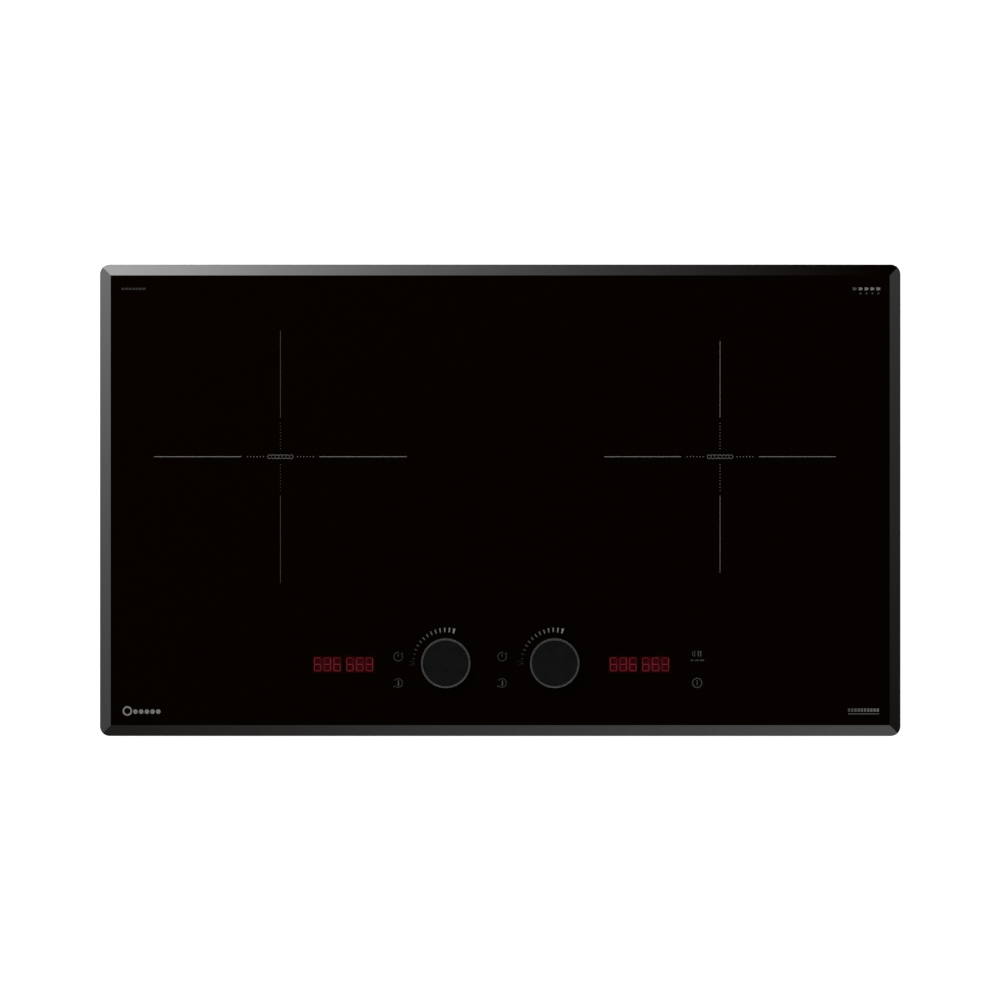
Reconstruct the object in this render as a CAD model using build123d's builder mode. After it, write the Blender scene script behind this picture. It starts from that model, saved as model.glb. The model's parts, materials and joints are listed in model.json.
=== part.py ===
"""Built-in induction hob: glass top, sheet-steel tray, two coils, fans, electronics, knobs and clamps.

Millimetres. +X is to the right, +Y to the back, +Z up. The origin is the centre of the tray's underside.
"""

from build123d import *
import math
import os

# --- driving sizes: glass, cut-out and tray -------------------------------------------------
GLASS_WIDTH = 730.0
GLASS_DEPTH = 430.0
GLASS_THICKNESS = 4.0
GLASS_CORNER = 9.0
BEVEL_WIDTH = 10.0
BEVEL_DROP = 2.2
OVERHANG = 25.0  # glass beyond the worktop's cut-out
CLAMP_ROOM = 20.0  # between the cut-out and the tray, left and right
END_ROOM = 3.0  # between the cut-out and the tray, front and back
TRAY_HEIGHT = 55.0
TRAY_CORNER = 6.0
SHEET = 0.8
GASKET_INSET = 8.0
GASKET_WIDTH = 12.0
GASKET_THICKNESS = 2.0
FRAME_SHEET = 1.0
FRAME_FLANGE = 14.0
FRAME_SKIRT = 12.0
FRAME_LIP = 0.8  # flange beyond the tray's wall
FRAME_TO_WALL = 0.2

# --- driving sizes: layout on the glass ------------------------------------------------------
COIL_RADII = (100.0, 90.0)  # left, right
COIL_TO_WALL = 14.9  # between the larger coil's carrier and the tray's wall
ZONE_FROM_BACK = 175.3
KNOB_SPACING = 98.9
CONTROLS_FROM_FRONT = 67.1  # the knobs' axes from the glass's front edge
DISPLAY_FROM_CENTRE = (-142.8, 126.8)
DISPLAY_BELOW_KNOBS = 1.6
KEY_UPPER_FROM_KNOBS = 5.4
KEY_LOWER_FROM_KNOBS = -18.6
KEY_COLUMNS = (-93.0, 1.7, 179.5)

# --- driving sizes: tray details ---------------------------------------------------------------
SCREW_RADIUS = 1.75
SCREW_CLEARANCE = 0.05
SCREW_LENGTH = 7.0
SCREW_FROM_CORNER = 60.0
SCREW_HEAD_RADIUS = 3.15
SCREW_HEAD_HEIGHT = 1.6
SCREW_SLOT_LENGTH = 3.5
SCREW_SLOT_WIDTH = 0.6
SCREW_SLOT_DEPTH = 0.8
DRILL_RUN = 1.0  # how far a cut runs past what it cuts
GRILLE_INSET = 3.0  # grille's edge inside the fan's bore
GRILLE_SLOT = 3.0
GRILLE_PITCH = 6.5
LOUVRE_SLOT = 3.0
LOUVRE_PITCH = 8.0
LOUVRE_HEIGHT = 20.0
LOUVRE_Z = 26.0
LOUVRE_COUNT = 12
RIB_HEIGHT = 1.2
RIB_WIDTH = 10.0
RIB_LENGTH = 150.0
RIB_PITCH = 36.0
RIB_COUNT = 4
STUD_RADIUS = 3.0
STUD_INSET = 6.0  # from a board's edge to its stud
PLATE_WIDTH = 70.0
PLATE_HEIGHT = 26.0
PLATE_SHEET = 0.3
PLATE_CORNER = 2.0
PLATE_FROM_CENTRE = 160.0
PLATE_Z = 20.0

# --- driving sizes: cable inlet ------------------------------------------------------------------
CABLE_RADIUS = 5.0
CABLE_FROM_ZONE = 69.7  # outward from the left zone's axis
CABLE_HEIGHT = 20.0
GROMMET_WALL = 3.0
GROMMET_FLANGE = 5.0  # from the bore to the flange's edge
GROMMET_NOSE = 3.5
GROMMET_OUT = 2.6
GROMMET_IN = 4.6
CORD_CLAMP_FROM_BACK = 20.0
CORD_CLAMP_WIDTH = 36.0
CORD_CLAMP_LENGTH = 10.0
CORD_CLAMP_BAR = 3.0
CORD_CLAMP_POST = 4.0
CORD_CLAMP_POST_INSET = 3.5
CORD_CLEARANCE = 0.8
TERMINAL_FROM_BACK = 46.0
TERMINAL_WAYS = 5
TERMINAL_PITCH = 11.0
TERMINAL_DEPTH = 22.0
TERMINAL_HEIGHT = 18.0
TERMINAL_END_WALL = 1.5
TERMINAL_WALL = 2.0
TERMINAL_BACK_WALL = 3.0
TERMINAL_WELL = 8.0
TERMINAL_SCREW_RADIUS = 3.2
TERMINAL_SCREW_HEIGHT = 5.0
TERMINAL_SLOT_LENGTH = 5.4
TERMINAL_SLOT_WIDTH = 1.0
TERMINAL_SLOT_DEPTH = 1.2

# --- driving sizes: cooking zones ------------------------------------------------------------------
MICA_SHEET = 0.5
WINDING_HEIGHT = 4.0
WINDING_HOLE = 25.0
WINDING_CROWN = 1.0
WIRE_PITCH = 4.2
CARRIER_SHEET = 3.0
CARRIER_LIP = 4.0
CARRIER_RIM = 2.0
CARRIER_HOLE = 10.0
CARRIER_WINDOWS = 8
WINDOW_START = 38.0
WINDOW_FROM_EDGE = 17.0
WINDOW_WIDTH = 9.0
FERRITE_HEIGHT = 5.0
FERRITE_WIDTH = 8.0
FERRITE_START = 27.0
FERRITE_FROM_EDGE = 12.0
FERRITE_BARS = 8
SHIELD_GAP = 8.0  # under the ferrite bars
SHIELD_SHEET = 1.5
SHIELD_CORNER = 6.0
SHIELD_HOLE = 14.0
SHIELD_BESIDE_BOARD = 11.0
SHIELD_INSIDE_COIL = 5.0  # its front and back edges inside the smaller coil's rim
SHIELD_LEG_PITCH = 40.0
SHIELD_LEG_WIDTH = 14.0
SHIELD_FOOT = 8.0
SPRING_RADIUS = 4.0
SPRING_WIRE = 0.5
SPRING_GAP = 0.3
COIL_SPRING_FROM_RIM = 10.0
COIL_SPRING_TURNS = 4
COIL_SPRING_ANGLES = (22.5, 157.5, 202.5, 337.5)
SENSOR_GAP = 2.0
SENSOR_DROP = 4.0
SENSOR_FLANGE = 5.0
SENSOR_FLANGE_HEIGHT = 1.5

# --- driving sizes: power electronics ----------------------------------------------------------------
BOARD_WIDTH = 190.0
BOARD_DEPTH = 150.0
BOARD_SHEET = 1.6
BOARD_CORNER = 2.0
BOARD_STANDOFF = 6.2
SINK_WIDTH = 92.0
SINK_LENGTH = 120.0
SINK_BASE = 4.0
SINK_AIR = 4.4  # between the fins and the shield plate
SINK_SHELF = 24.0
SINK_FIN = 1.6
SINK_FINS = 10
SINK_FROM_EDGE = 5.0
TRANSISTORS = 4
TRANSISTOR_WIDTH = 20.0
TRANSISTOR_DEPTH = 16.0
TRANSISTOR_HEIGHT = 5.0
TRANSISTOR_HOLE = 1.8
TRANSISTOR_SHIFT = 1.0  # from the shelf's middle towards its free edge
CAPACITORS = 3
CAPACITOR_WIDTH = 18.0
CAPACITOR_DEPTH = 32.0
CAPACITOR_PITCH = 40.0
CAPACITOR_CORNER = 2.0
CAPACITOR_AIR = 5.4
CAPACITOR_FROM_ZONE = 33.5
CHOKE_RADIUS = 12.0
CHOKE_WIRE = 5.0
CHOKE_FROM_EDGE = 4.0
CHOKE_FROM_ZONE = 25.0

# --- driving sizes: cooling fans -------------------------------------------------------------------------
FAN_SIZE = 80.0
FAN_HEIGHT = 20.0
FAN_WALL = 2.0  # between the bore and the frame's side
FAN_CORNER = 4.0
FAN_FROM_BACK = 105.0
FAN_PLATE = 2.4
FAN_HOLE_INSET = 4.5
FAN_HOLE_RADIUS = 2.2
FAN_STRUTS = 4
FAN_STRUT_WIDTH = 4.0
FAN_STRUT_START = 6.0
FAN_STRUT_RUN = 2.0
FAN_HUB_RADIUS = 16.0
FAN_HUB_WALL = 2.0
FAN_HUB_SEAT = 1.0  # the frame's centre plate beyond the hub
FAN_SLEEVE_RADIUS = 4.0
FAN_SLEEVE_TOP = 14.0
FAN_SHAFT_RADIUS = 1.5
SHAFT_CLEARANCE = 0.04
FAN_BORE_FLOOR = 1.2
FAN_SHAFT_LIFT = 0.3
FAN_TIP_GAP = 2.2
ROTOR_LIFT = 1.2
ROTOR_SINK = 1.0
FAN_BLADES = 7
BLADE_CHORD_ROOT = 13.6
BLADE_CHORD_TIP = 17.0
BLADE_SHEET = 1.4
BLADE_PITCH_ROOT = 48.0
BLADE_PITCH_TIP = 30.0
STATOR_RADIUS = 12.0
STATOR_HEIGHT = 7.5
STATOR_LIFT = 1.0
STATOR_POLES = 4
STATOR_SLOT_LENGTH = 8.0
STATOR_SLOT_WIDTH = 1.6
STATOR_SLOT_FROM_EDGE = 3.0

# --- driving sizes: controls --------------------------------------------------------------------------------
CONTROL_DROP = 9.0  # from the glass down to the control board's top
CONTROL_BEHIND = 16.4  # the board's back edge from the knobs' axes
CONTROL_AHEAD = 24.6
CONTROL_MARGIN = 12.5
TROUGH_FLOOR = 2.0
TROUGH_WALL = 2.0
TROUGH_SLACK = 0.5
TROUGH_LIP = 1.5
TROUGH_WINDOWS = 6
TROUGH_BAR = 14.0
TROUGH_EDGE = 8.0
TROUGH_WINDOW_CORNER = 4.0
TROUGH_LEG_RADIUS = 4.0
TROUGH_LEG_INSET = 5.0
TROUGH_LEG_COLUMNS = 4
TOUCH_SPRING_TURNS = 3
DISPLAY_WIDTH = 62.0
DISPLAY_DEPTH = 21.0
DISPLAY_CORNER = 1.5
DISPLAY_GAP = 0.5
DIGIT_PITCH = 8.9
DIGIT_GROUP_PITCH = 29.5
DIGIT_WINDOW_INSET = 2.5
DIGIT_WINDOW_DEPTH = 1.0

# --- driving sizes: encoders and knobs ------------------------------------------------------------------------
ENCODER_SHAFT_RADIUS = 3.0
SHAFT_FLAT = 1.5  # from the axis to the D flat
SHAFT_CHAMFER = 0.4
FLAT_ABOVE_GLASS = 0.6
ENCODER_BODY = 13.0
ENCODER_CORNER = 1.0
ENCODER_BODY_HEIGHT = 6.4
BUSHING_WALL = 1.5
BUSHING_TO_GLASS = 1.0
COLLAR_STEP = 1.6
COLLAR_HEIGHT = 1.4
CAVITY_SLACK = 0.4
SHAFT_LIFT = 1.4  # shaft's foot above the control board
COLLAR_LIFT = 0.3
BORE_RUN = 0.2
SEAL_CLEARANCE = 0.3
SEAL_WALL = 1.7
SEAL_FLANGE = 2.5
SEAL_FLANGE_SHEET = 0.8
KNOB_RADIUS = 22.3
KNOB_RIM = 1.5
KNOB_HEIGHT = 13.0
KNOB_ABOVE_GLASS = 1.0
KNOB_WALL = 2.0
KNOB_CHAMFER = 0.4
KNOB_BAND_Z = 2.9
KNOB_BAND_HEIGHT = 1.0
KNOB_BAND_DEPTH = 0.4
CAP_DISH = 0.5
CAP_FILLET = 0.4
LIP_HEIGHT = 1.2
LIP_DEPTH = 1.4
BOSS_WALL = 2.6
SHAFT_BELOW_WALL = 1.8
BOSS_RUN = 0.4

# --- driving sizes: worktop clamps -------------------------------------------------------------------------------
CLAMP_FROM_CENTRE = 110.0
CLAMP_SCREW_RADIUS = 2.5
CLAMP_SCREW_BELOW_GLASS = 3.0
CLAMP_SCREW_CHAMFER = 0.5
CLAMP_HEAD_RADIUS = 4.5
CLAMP_HEAD_HEIGHT = 3.5
CLAMP_SLOT_LENGTH = 5.0
CLAMP_SLOT_WIDTH = 1.0
CLAMP_SLOT_DEPTH = 1.8
CLAMP_SHEET = 2.0
CLAMP_WIDTH = 14.0
CLAMP_REACH = 30.0
CLAMP_GAP = 0.5  # between the arm and its bracket
ARM_Z = 10.0
ARM_COLLAR_RADIUS = 5.0
ARM_COLLAR_HEIGHT = 8.0
ARM_LIP = 3.0
ARM_RIB = 3.0
BRACKET_SHEET = 1.5
BRACKET_WIDTH = 26.0
BRACKET_BOTTOM = 6.0
BRACKET_FROM_TOP = 5.0
BRACKET_SHORT = 3.0  # short of the cut-out's edge

# --- driving sizes: wiring ------------------------------------------------------------------------------------------
LEAD_RADIUS = 1.5
LEAD_BEND = 5.0
LEAD_SPACING = 16.0
LEAD_LEVEL = 12.0  # above the power board
LEAD_INSIDE_COIL = 1.0
LEAD_ON_BOARD = 5.0
MAINS_RADIUS = 1.25
MAINS_BEND = 3.0
MAINS_LEVEL = 5.0
MAINS_ON_BOARD = 4.0
RIBBON_WIDTH = 14.0
RIBBON_SHEET = 1.0
RIBBON_BEND = 8.0
RIBBON_FROM_EDGE = 20.0

# --- worked-out places ------------------------------------------------------------------------------------------------
CUTOUT_WIDTH = GLASS_WIDTH - 2 * OVERHANG
CUTOUT_DEPTH = GLASS_DEPTH - 2 * OVERHANG
TRAY_WIDTH = CUTOUT_WIDTH - 2 * CLAMP_ROOM
TRAY_DEPTH = CUTOUT_DEPTH - 2 * END_ROOM
TRAY_SIDE = TRAY_WIDTH / 2
TRAY_BACK = TRAY_DEPTH / 2
PANEL_WIDTH = TRAY_WIDTH - 2 * TRAY_CORNER
GLASS_BOTTOM = TRAY_HEIGHT + FRAME_SHEET
GLASS_TOP = GLASS_BOTTOM + GLASS_THICKNESS
ZONE_X = TRAY_SIDE - SHEET - COIL_TO_WALL - CARRIER_LIP - max(COIL_RADII)
ZONE_Y = GLASS_DEPTH / 2 - ZONE_FROM_BACK
ZONES = (-ZONE_X, ZONE_X)
SIDES = ("left", "right")
KNOB_Y = CONTROLS_FROM_FRONT - GLASS_DEPTH / 2
KNOBS = (-KNOB_SPACING / 2, KNOB_SPACING / 2)
BOARD_BOTTOM = SHEET + BOARD_STANDOFF
BOARD_TOP = BOARD_BOTTOM + BOARD_SHEET
WINDING_TOP = GLASS_BOTTOM - MICA_SHEET
CARRIER_TOP = WINDING_TOP - WINDING_HEIGHT
FERRITE_TOP = CARRIER_TOP - CARRIER_SHEET
FERRITE_BOTTOM = FERRITE_TOP - FERRITE_HEIGHT
SHIELD_TOP = FERRITE_BOTTOM - SHIELD_GAP
SHIELD_BOTTOM = SHIELD_TOP - SHIELD_SHEET
SHIELD_WIDTH = BOARD_WIDTH + 2 * SHIELD_BESIDE_BOARD
SHIELD_DEPTH = 2 * (min(COIL_RADII) - SHIELD_INSIDE_COIL)
FAN_BORE = FAN_SIZE - 2 * FAN_WALL
FAN_X = (ZONE_X - BOARD_WIDTH / 2) / 2
FAN_Y = GLASS_DEPTH / 2 - FAN_FROM_BACK
FANS = (-FAN_X, FAN_X)
CONTROL_TOP = GLASS_BOTTOM - CONTROL_DROP
CONTROL_BOTTOM = CONTROL_TOP - BOARD_SHEET
CONTROL_LEFT = DISPLAY_FROM_CENTRE[0] - DISPLAY_WIDTH / 2 - CONTROL_MARGIN
CONTROL_RIGHT = KEY_COLUMNS[-1] + CONTROL_MARGIN
CONTROL_X = (CONTROL_LEFT + CONTROL_RIGHT) / 2
CONTROL_WIDTH = CONTROL_RIGHT - CONTROL_LEFT
CONTROL_Y = KNOB_Y + (CONTROL_BEHIND - CONTROL_AHEAD) / 2
CONTROL_DEPTH = CONTROL_BEHIND + CONTROL_AHEAD
KEYS = tuple((x, KNOB_Y + dy) for x in KEY_COLUMNS for dy in (KEY_UPPER_FROM_KNOBS, KEY_LOWER_FROM_KNOBS))
CABLE_X = ZONES[0] - CABLE_FROM_ZONE
CORD_CLAMP_Y = TRAY_BACK - CORD_CLAMP_FROM_BACK
CORD_JAW = CABLE_RADIUS + CORD_CLEARANCE  # half the gap between the cord clamp's jaws
TERMINAL_Y = TRAY_BACK - TERMINAL_FROM_BACK
TERMINAL_TOP = SHEET + TERMINAL_HEIGHT
GLASS_HOLE_RADIUS = ENCODER_SHAFT_RADIUS + SEAL_CLEARANCE + SEAL_WALL
KNOB_BOTTOM = GLASS_TOP + KNOB_ABOVE_GLASS
KNOB_TOP = KNOB_BOTTOM + KNOB_HEIGHT
CAP_RADIUS = KNOB_RADIUS - KNOB_RIM
SHAFT_TOP = KNOB_TOP - KNOB_WALL - SHAFT_BELOW_WALL
SHAFT_BOTTOM = CONTROL_TOP + SHAFT_LIFT
COLLAR_RADIUS = ENCODER_SHAFT_RADIUS + COLLAR_STEP
COLLAR_BOTTOM = SHAFT_BOTTOM + COLLAR_LIFT
BRACKET_TOP = TRAY_HEIGHT - BRACKET_FROM_TOP
BRACKET_OUT = CLAMP_ROOM - BRACKET_SHORT
CLAMP_X = TRAY_SIDE + BRACKET_SHEET + CLAMP_GAP + CLAMP_WIDTH / 2
CLAMP_SCREW_TOP = GLASS_BOTTOM - CLAMP_SCREW_BELOW_GLASS
SKIRT_WIDTH = TRAY_WIDTH - 2 * (SHEET + FRAME_TO_WALL)
SKIRT_DEPTH = TRAY_DEPTH - 2 * (SHEET + FRAME_TO_WALL)
SKIRT_CORNER = TRAY_CORNER - SHEET - FRAME_TO_WALL
SCREW_Z = TRAY_HEIGHT - FRAME_SKIRT / 2

os.makedirs("parts", exist_ok=True)


def save(part, name):
    """Label a finished piece and write it as a STEP file of the same name."""
    part.label = name
    export_step(part, f"parts/{name}.step")


def level(z):
    """Horizontal plane at height z."""
    return Plane.XY.offset(z)


def level_at(x, y, z):
    """Horizontal plane at height z with its origin over a point."""
    return Plane(origin=(x, y, z))


def back_wall(x, z):
    """Plane on the tray's back wall, looking outwards."""
    return Plane(origin=(x, TRAY_BACK, z), x_dir=(-1, 0, 0), z_dir=(0, 1, 0))


def tube_along(points, radius, bend):
    """A round lead that follows straight runs joined by arcs."""
    with BuildPart() as lead:
        with BuildLine() as path:
            FilletPolyline(*points, radius=bend)
        with BuildSketch(Plane(origin=path.line @ 0, z_dir=path.line % 0)):
            Circle(radius)
        sweep(path=path.line)
    return lead.part


def spring(radius, wire, height, turns):
    """One round-wire compression spring standing on its own origin."""
    with BuildPart() as coil:
        with BuildLine() as path:
            Helix(pitch=height / turns, height=height, radius=radius)
        with BuildSketch(Plane(origin=path.line @ 0, z_dir=path.line % 0)):
            Circle(wire)
        sweep(path=path.line, is_frenet=True)
    return coil.part


# --- glass top: slab with rounded corners, four mitred bevels and two shaft holes ------------------------
with BuildPart() as glass_top:
    with BuildSketch(level(GLASS_BOTTOM)):
        RectangleRounded(GLASS_WIDTH, GLASS_DEPTH, GLASS_CORNER)
    extrude(amount=GLASS_THICKNESS)
    for out_x, out_y in ((1, 0), (0, 1), (-1, 0), (0, -1)):
        edge = abs(out_x) * GLASS_WIDTH / 2 + abs(out_y) * GLASS_DEPTH / 2
        with BuildSketch(Plane(origin=(0, 0, 0), x_dir=(out_x, out_y, 0), z_dir=(out_y, -out_x, 0))):
            with BuildLine():
                Polyline(
                    (edge - BEVEL_WIDTH, GLASS_TOP),
                    (edge + BEVEL_WIDTH, GLASS_TOP - 2 * BEVEL_DROP),
                    (edge + BEVEL_WIDTH, GLASS_TOP + BEVEL_DROP),
                    (edge - BEVEL_WIDTH, GLASS_TOP + BEVEL_DROP),
                    close=True,
                )
            make_face()
        extrude(amount=max(GLASS_WIDTH, GLASS_DEPTH), both=True, mode=Mode.SUBTRACT)
    with BuildSketch(level(GLASS_BOTTOM)):
        with Locations(*[(x, KNOB_Y) for x in KNOBS]):
            Circle(GLASS_HOLE_RADIUS)
    extrude(amount=GLASS_THICKNESS, mode=Mode.SUBTRACT)
save(glass_top.part, "glass_top")

# --- foam gasket stuck under the glass edge, which rests on the worktop ------------------------------------
with BuildPart() as worktop_gasket:
    gasket_hole = 2 * (GASKET_INSET + GASKET_WIDTH)
    with BuildSketch(level(GLASS_BOTTOM - GASKET_THICKNESS)):
        RectangleRounded(GLASS_WIDTH - 2 * GASKET_INSET, GLASS_DEPTH - 2 * GASKET_INSET, GASKET_WIDTH)
        Rectangle(GLASS_WIDTH - gasket_hole, GLASS_DEPTH - gasket_hole, mode=Mode.SUBTRACT)
    extrude(amount=GASKET_THICKNESS)
save(worktop_gasket.part, "worktop_gasket")


# --- glass frame: steel angle bonded under the glass; its skirt drops inside the tray ------------------------
def wall_screw_planes():
    """Where the tray screws enter: each plane stands on the tray's outer wall and looks outwards."""
    planes = []
    for x in (SCREW_FROM_CORNER - TRAY_SIDE, 0.0, TRAY_SIDE - SCREW_FROM_CORNER):
        planes.append(Plane(origin=(x, -TRAY_BACK, SCREW_Z), z_dir=(0, -1, 0)))
        planes.append(Plane(origin=(x, TRAY_BACK, SCREW_Z), z_dir=(0, 1, 0)))
    planes.append(Plane(origin=(-TRAY_SIDE, 0, SCREW_Z), z_dir=(-1, 0, 0)))
    planes.append(Plane(origin=(TRAY_SIDE, 0, SCREW_Z), z_dir=(1, 0, 0)))
    return planes


def drill_wall_screws():
    """Cut every tray screw's hole through the walls of the part being built."""
    depth = SHEET + FRAME_TO_WALL + FRAME_SHEET + DRILL_RUN
    for plane in wall_screw_planes():
        with BuildSketch(plane) as hole:
            Circle(SCREW_RADIUS + SCREW_CLEARANCE)
        extrude(hole.sketch, amount=-depth, mode=Mode.SUBTRACT)


with BuildPart() as glass_frame:
    inner_width = TRAY_WIDTH - 2 * FRAME_FLANGE
    inner_depth = TRAY_DEPTH - 2 * FRAME_FLANGE
    with BuildSketch(level(TRAY_HEIGHT)):
        RectangleRounded(TRAY_WIDTH + 2 * FRAME_LIP, TRAY_DEPTH + 2 * FRAME_LIP, TRAY_CORNER + FRAME_LIP)
        RectangleRounded(inner_width, inner_depth, TRAY_CORNER, mode=Mode.SUBTRACT)
    extrude(amount=FRAME_SHEET)
    with BuildSketch(level(TRAY_HEIGHT)):
        RectangleRounded(SKIRT_WIDTH, SKIRT_DEPTH, SKIRT_CORNER)
        offset(amount=-FRAME_SHEET, mode=Mode.SUBTRACT)
    extrude(amount=-FRAME_SKIRT)
    drill_wall_screws()
save(glass_frame.part, "glass_frame")


# --- bottom tray: floor and three walls, with grilles, ribs and board studs; the back panel closes it --------------------------------
def grille(x, y):
    """Parallel slots under a fan, each as long as the round intake is wide there."""
    reach = FAN_BORE / 2 - GRILLE_INSET
    rows = int(reach // GRILLE_PITCH)
    for row in range(-rows, rows + 1):
        rise = row * GRILLE_PITCH
        chord = 2 * math.sqrt(reach**2 - rise**2)
        with Locations((x, y + rise)):
            SlotOverall(chord, GRILLE_SLOT)


def ribs(shrink):
    """The stiffening ribs' outlines under both power boards, each side drawn in by shrink."""
    for zone in ZONES:
        with Locations((zone, ZONE_Y)), GridLocations(0, RIB_PITCH, 1, RIB_COUNT):
            SlotOverall(RIB_LENGTH - 2 * shrink, RIB_WIDTH - 2 * shrink)


with BuildPart() as bottom_tray:
    with BuildSketch():
        RectangleRounded(TRAY_WIDTH, TRAY_DEPTH, TRAY_CORNER)
    extrude(amount=TRAY_HEIGHT)
    with BuildSketch(level(SHEET)):
        RectangleRounded(TRAY_WIDTH - 2 * SHEET, TRAY_DEPTH - 2 * SHEET, TRAY_CORNER - SHEET)
    extrude(amount=TRAY_HEIGHT, mode=Mode.SUBTRACT)
    with BuildSketch(level(SHEET)):
        with Locations((0, TRAY_BACK - SHEET / 2)):
            Rectangle(PANEL_WIDTH, SHEET)
    extrude(amount=TRAY_HEIGHT, mode=Mode.SUBTRACT)
    with BuildSketch():
        for fan in FANS:
            grille(fan, FAN_Y)
    extrude(amount=SHEET, mode=Mode.SUBTRACT)
    with BuildSketch(level(SHEET)):
        ribs(0.0)
    extrude(amount=RIB_HEIGHT)
    with BuildSketch():
        ribs(SHEET)
    extrude(amount=RIB_HEIGHT, mode=Mode.SUBTRACT)
    with BuildSketch(level(SHEET)):
        with Locations(*[(zone, ZONE_Y) for zone in ZONES]):
            with GridLocations(BOARD_WIDTH - 2 * STUD_INSET, BOARD_DEPTH - 2 * STUD_INSET, 2, 2):
                Circle(STUD_RADIUS)
    extrude(amount=BOARD_STANDOFF)
    drill_wall_screws()
save(bottom_tray.part, "bottom_tray")

with BuildPart() as back_panel:
    with BuildSketch(back_wall(0, (SHEET + TRAY_HEIGHT) / 2)):
        Rectangle(PANEL_WIDTH, TRAY_HEIGHT - SHEET)
    extrude(amount=-SHEET)
    with BuildSketch(back_wall(0, LOUVRE_Z)):
        for zone in ZONES:
            with Locations((-zone, 0)), GridLocations(LOUVRE_PITCH, 0, LOUVRE_COUNT, 1):
                SlotOverall(LOUVRE_HEIGHT, LOUVRE_SLOT, rotation=90)
    extrude(amount=-SHEET, mode=Mode.SUBTRACT)
    with BuildSketch(back_wall(CABLE_X, CABLE_HEIGHT)):
        Circle(CABLE_RADIUS + GROMMET_WALL)
    extrude(amount=-SHEET, mode=Mode.SUBTRACT)
    drill_wall_screws()
save(back_panel.part, "back_panel")

# --- tray screws: pan heads outside the walls, shanks through tray and skirt -------------------------------------
with BuildPart() as tray_screws:
    for plane in wall_screw_planes():
        with BuildSketch(plane):
            Circle(SCREW_HEAD_RADIUS)
        extrude(amount=SCREW_HEAD_HEIGHT)
        with BuildSketch(plane):
            Circle(SCREW_RADIUS)
        extrude(amount=-SCREW_LENGTH)
        with BuildSketch(plane.offset(SCREW_HEAD_HEIGHT)):
            Rectangle(SCREW_SLOT_LENGTH, SCREW_SLOT_WIDTH)
            Rectangle(SCREW_SLOT_WIDTH, SCREW_SLOT_LENGTH)
        extrude(amount=-SCREW_SLOT_DEPTH, mode=Mode.SUBTRACT)
save(tray_screws.part, "tray_screws")

# --- rating plate: a blank foil plate on the tray's front wall ------------------------------------------------------
with BuildPart() as rating_plate:
    front_wall = Plane(origin=(PLATE_FROM_CENTRE, -TRAY_BACK, PLATE_Z), x_dir=(1, 0, 0), z_dir=(0, -1, 0))
    with BuildSketch(front_wall):
        RectangleRounded(PLATE_WIDTH, PLATE_HEIGHT, PLATE_CORNER)
    extrude(amount=PLATE_SHEET)
save(rating_plate.part, "rating_plate")

# --- cable inlet: rubber grommet in the back wall, cord clamp and terminal block --------------------------------------
with BuildPart() as cable_grommet:
    with BuildSketch(Plane.YZ):
        with BuildLine():
            Polyline(
                (TRAY_BACK - SHEET - GROMMET_IN, CABLE_RADIUS),
                (TRAY_BACK + GROMMET_OUT, CABLE_RADIUS),
                (TRAY_BACK + GROMMET_OUT, CABLE_RADIUS + GROMMET_FLANGE),
                (TRAY_BACK, CABLE_RADIUS + GROMMET_FLANGE),
                (TRAY_BACK, CABLE_RADIUS + GROMMET_WALL),
                (TRAY_BACK - SHEET, CABLE_RADIUS + GROMMET_WALL),
                (TRAY_BACK - SHEET, CABLE_RADIUS + GROMMET_FLANGE),
                (TRAY_BACK - SHEET - GROMMET_IN, CABLE_RADIUS + GROMMET_NOSE),
                close=True,
            )
        make_face()
    revolve(axis=Axis.Y)
save(Pos(CABLE_X, 0, CABLE_HEIGHT) * cable_grommet.part, "cable_grommet")

with BuildPart() as cord_clamp:
    across = Plane(origin=(CABLE_X, CORD_CLAMP_Y, 0), x_dir=(1, 0, 0), z_dir=(0, -1, 0))
    post_x = CORD_CLAMP_WIDTH / 2 - CORD_CLAMP_POST_INSET
    base_top = CABLE_HEIGHT - CORD_JAW
    bar_bottom = CABLE_HEIGHT + CORD_JAW
    with BuildSketch(across):
        with Locations((0, (SHEET + base_top) / 2)):
            Rectangle(CORD_CLAMP_WIDTH, base_top - SHEET)
        with Locations((0, bar_bottom + CORD_CLAMP_BAR / 2)):
            Rectangle(CORD_CLAMP_WIDTH, CORD_CLAMP_BAR)
        with Locations((-post_x, CABLE_HEIGHT), (post_x, CABLE_HEIGHT)):
            Rectangle(CORD_CLAMP_POST, 2 * CORD_JAW)
    extrude(amount=CORD_CLAMP_LENGTH)
save(cord_clamp.part, "cord_clamp")

with BuildPart() as terminal_block:
    with BuildSketch(level(SHEET)):
        with Locations((CABLE_X, TERMINAL_Y)):
            Rectangle(TERMINAL_WAYS * TERMINAL_PITCH + 2 * TERMINAL_END_WALL, TERMINAL_DEPTH)
    extrude(amount=TERMINAL_HEIGHT)
    with BuildSketch(level(TERMINAL_TOP)):
        with Locations((CABLE_X, TERMINAL_Y)), GridLocations(TERMINAL_PITCH, 0, TERMINAL_WAYS, 1):
            Rectangle(TERMINAL_PITCH - TERMINAL_WALL, TERMINAL_DEPTH - 2 * TERMINAL_BACK_WALL)
    extrude(amount=-TERMINAL_WELL, mode=Mode.SUBTRACT)
save(terminal_block.part, "terminal_block")

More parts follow.
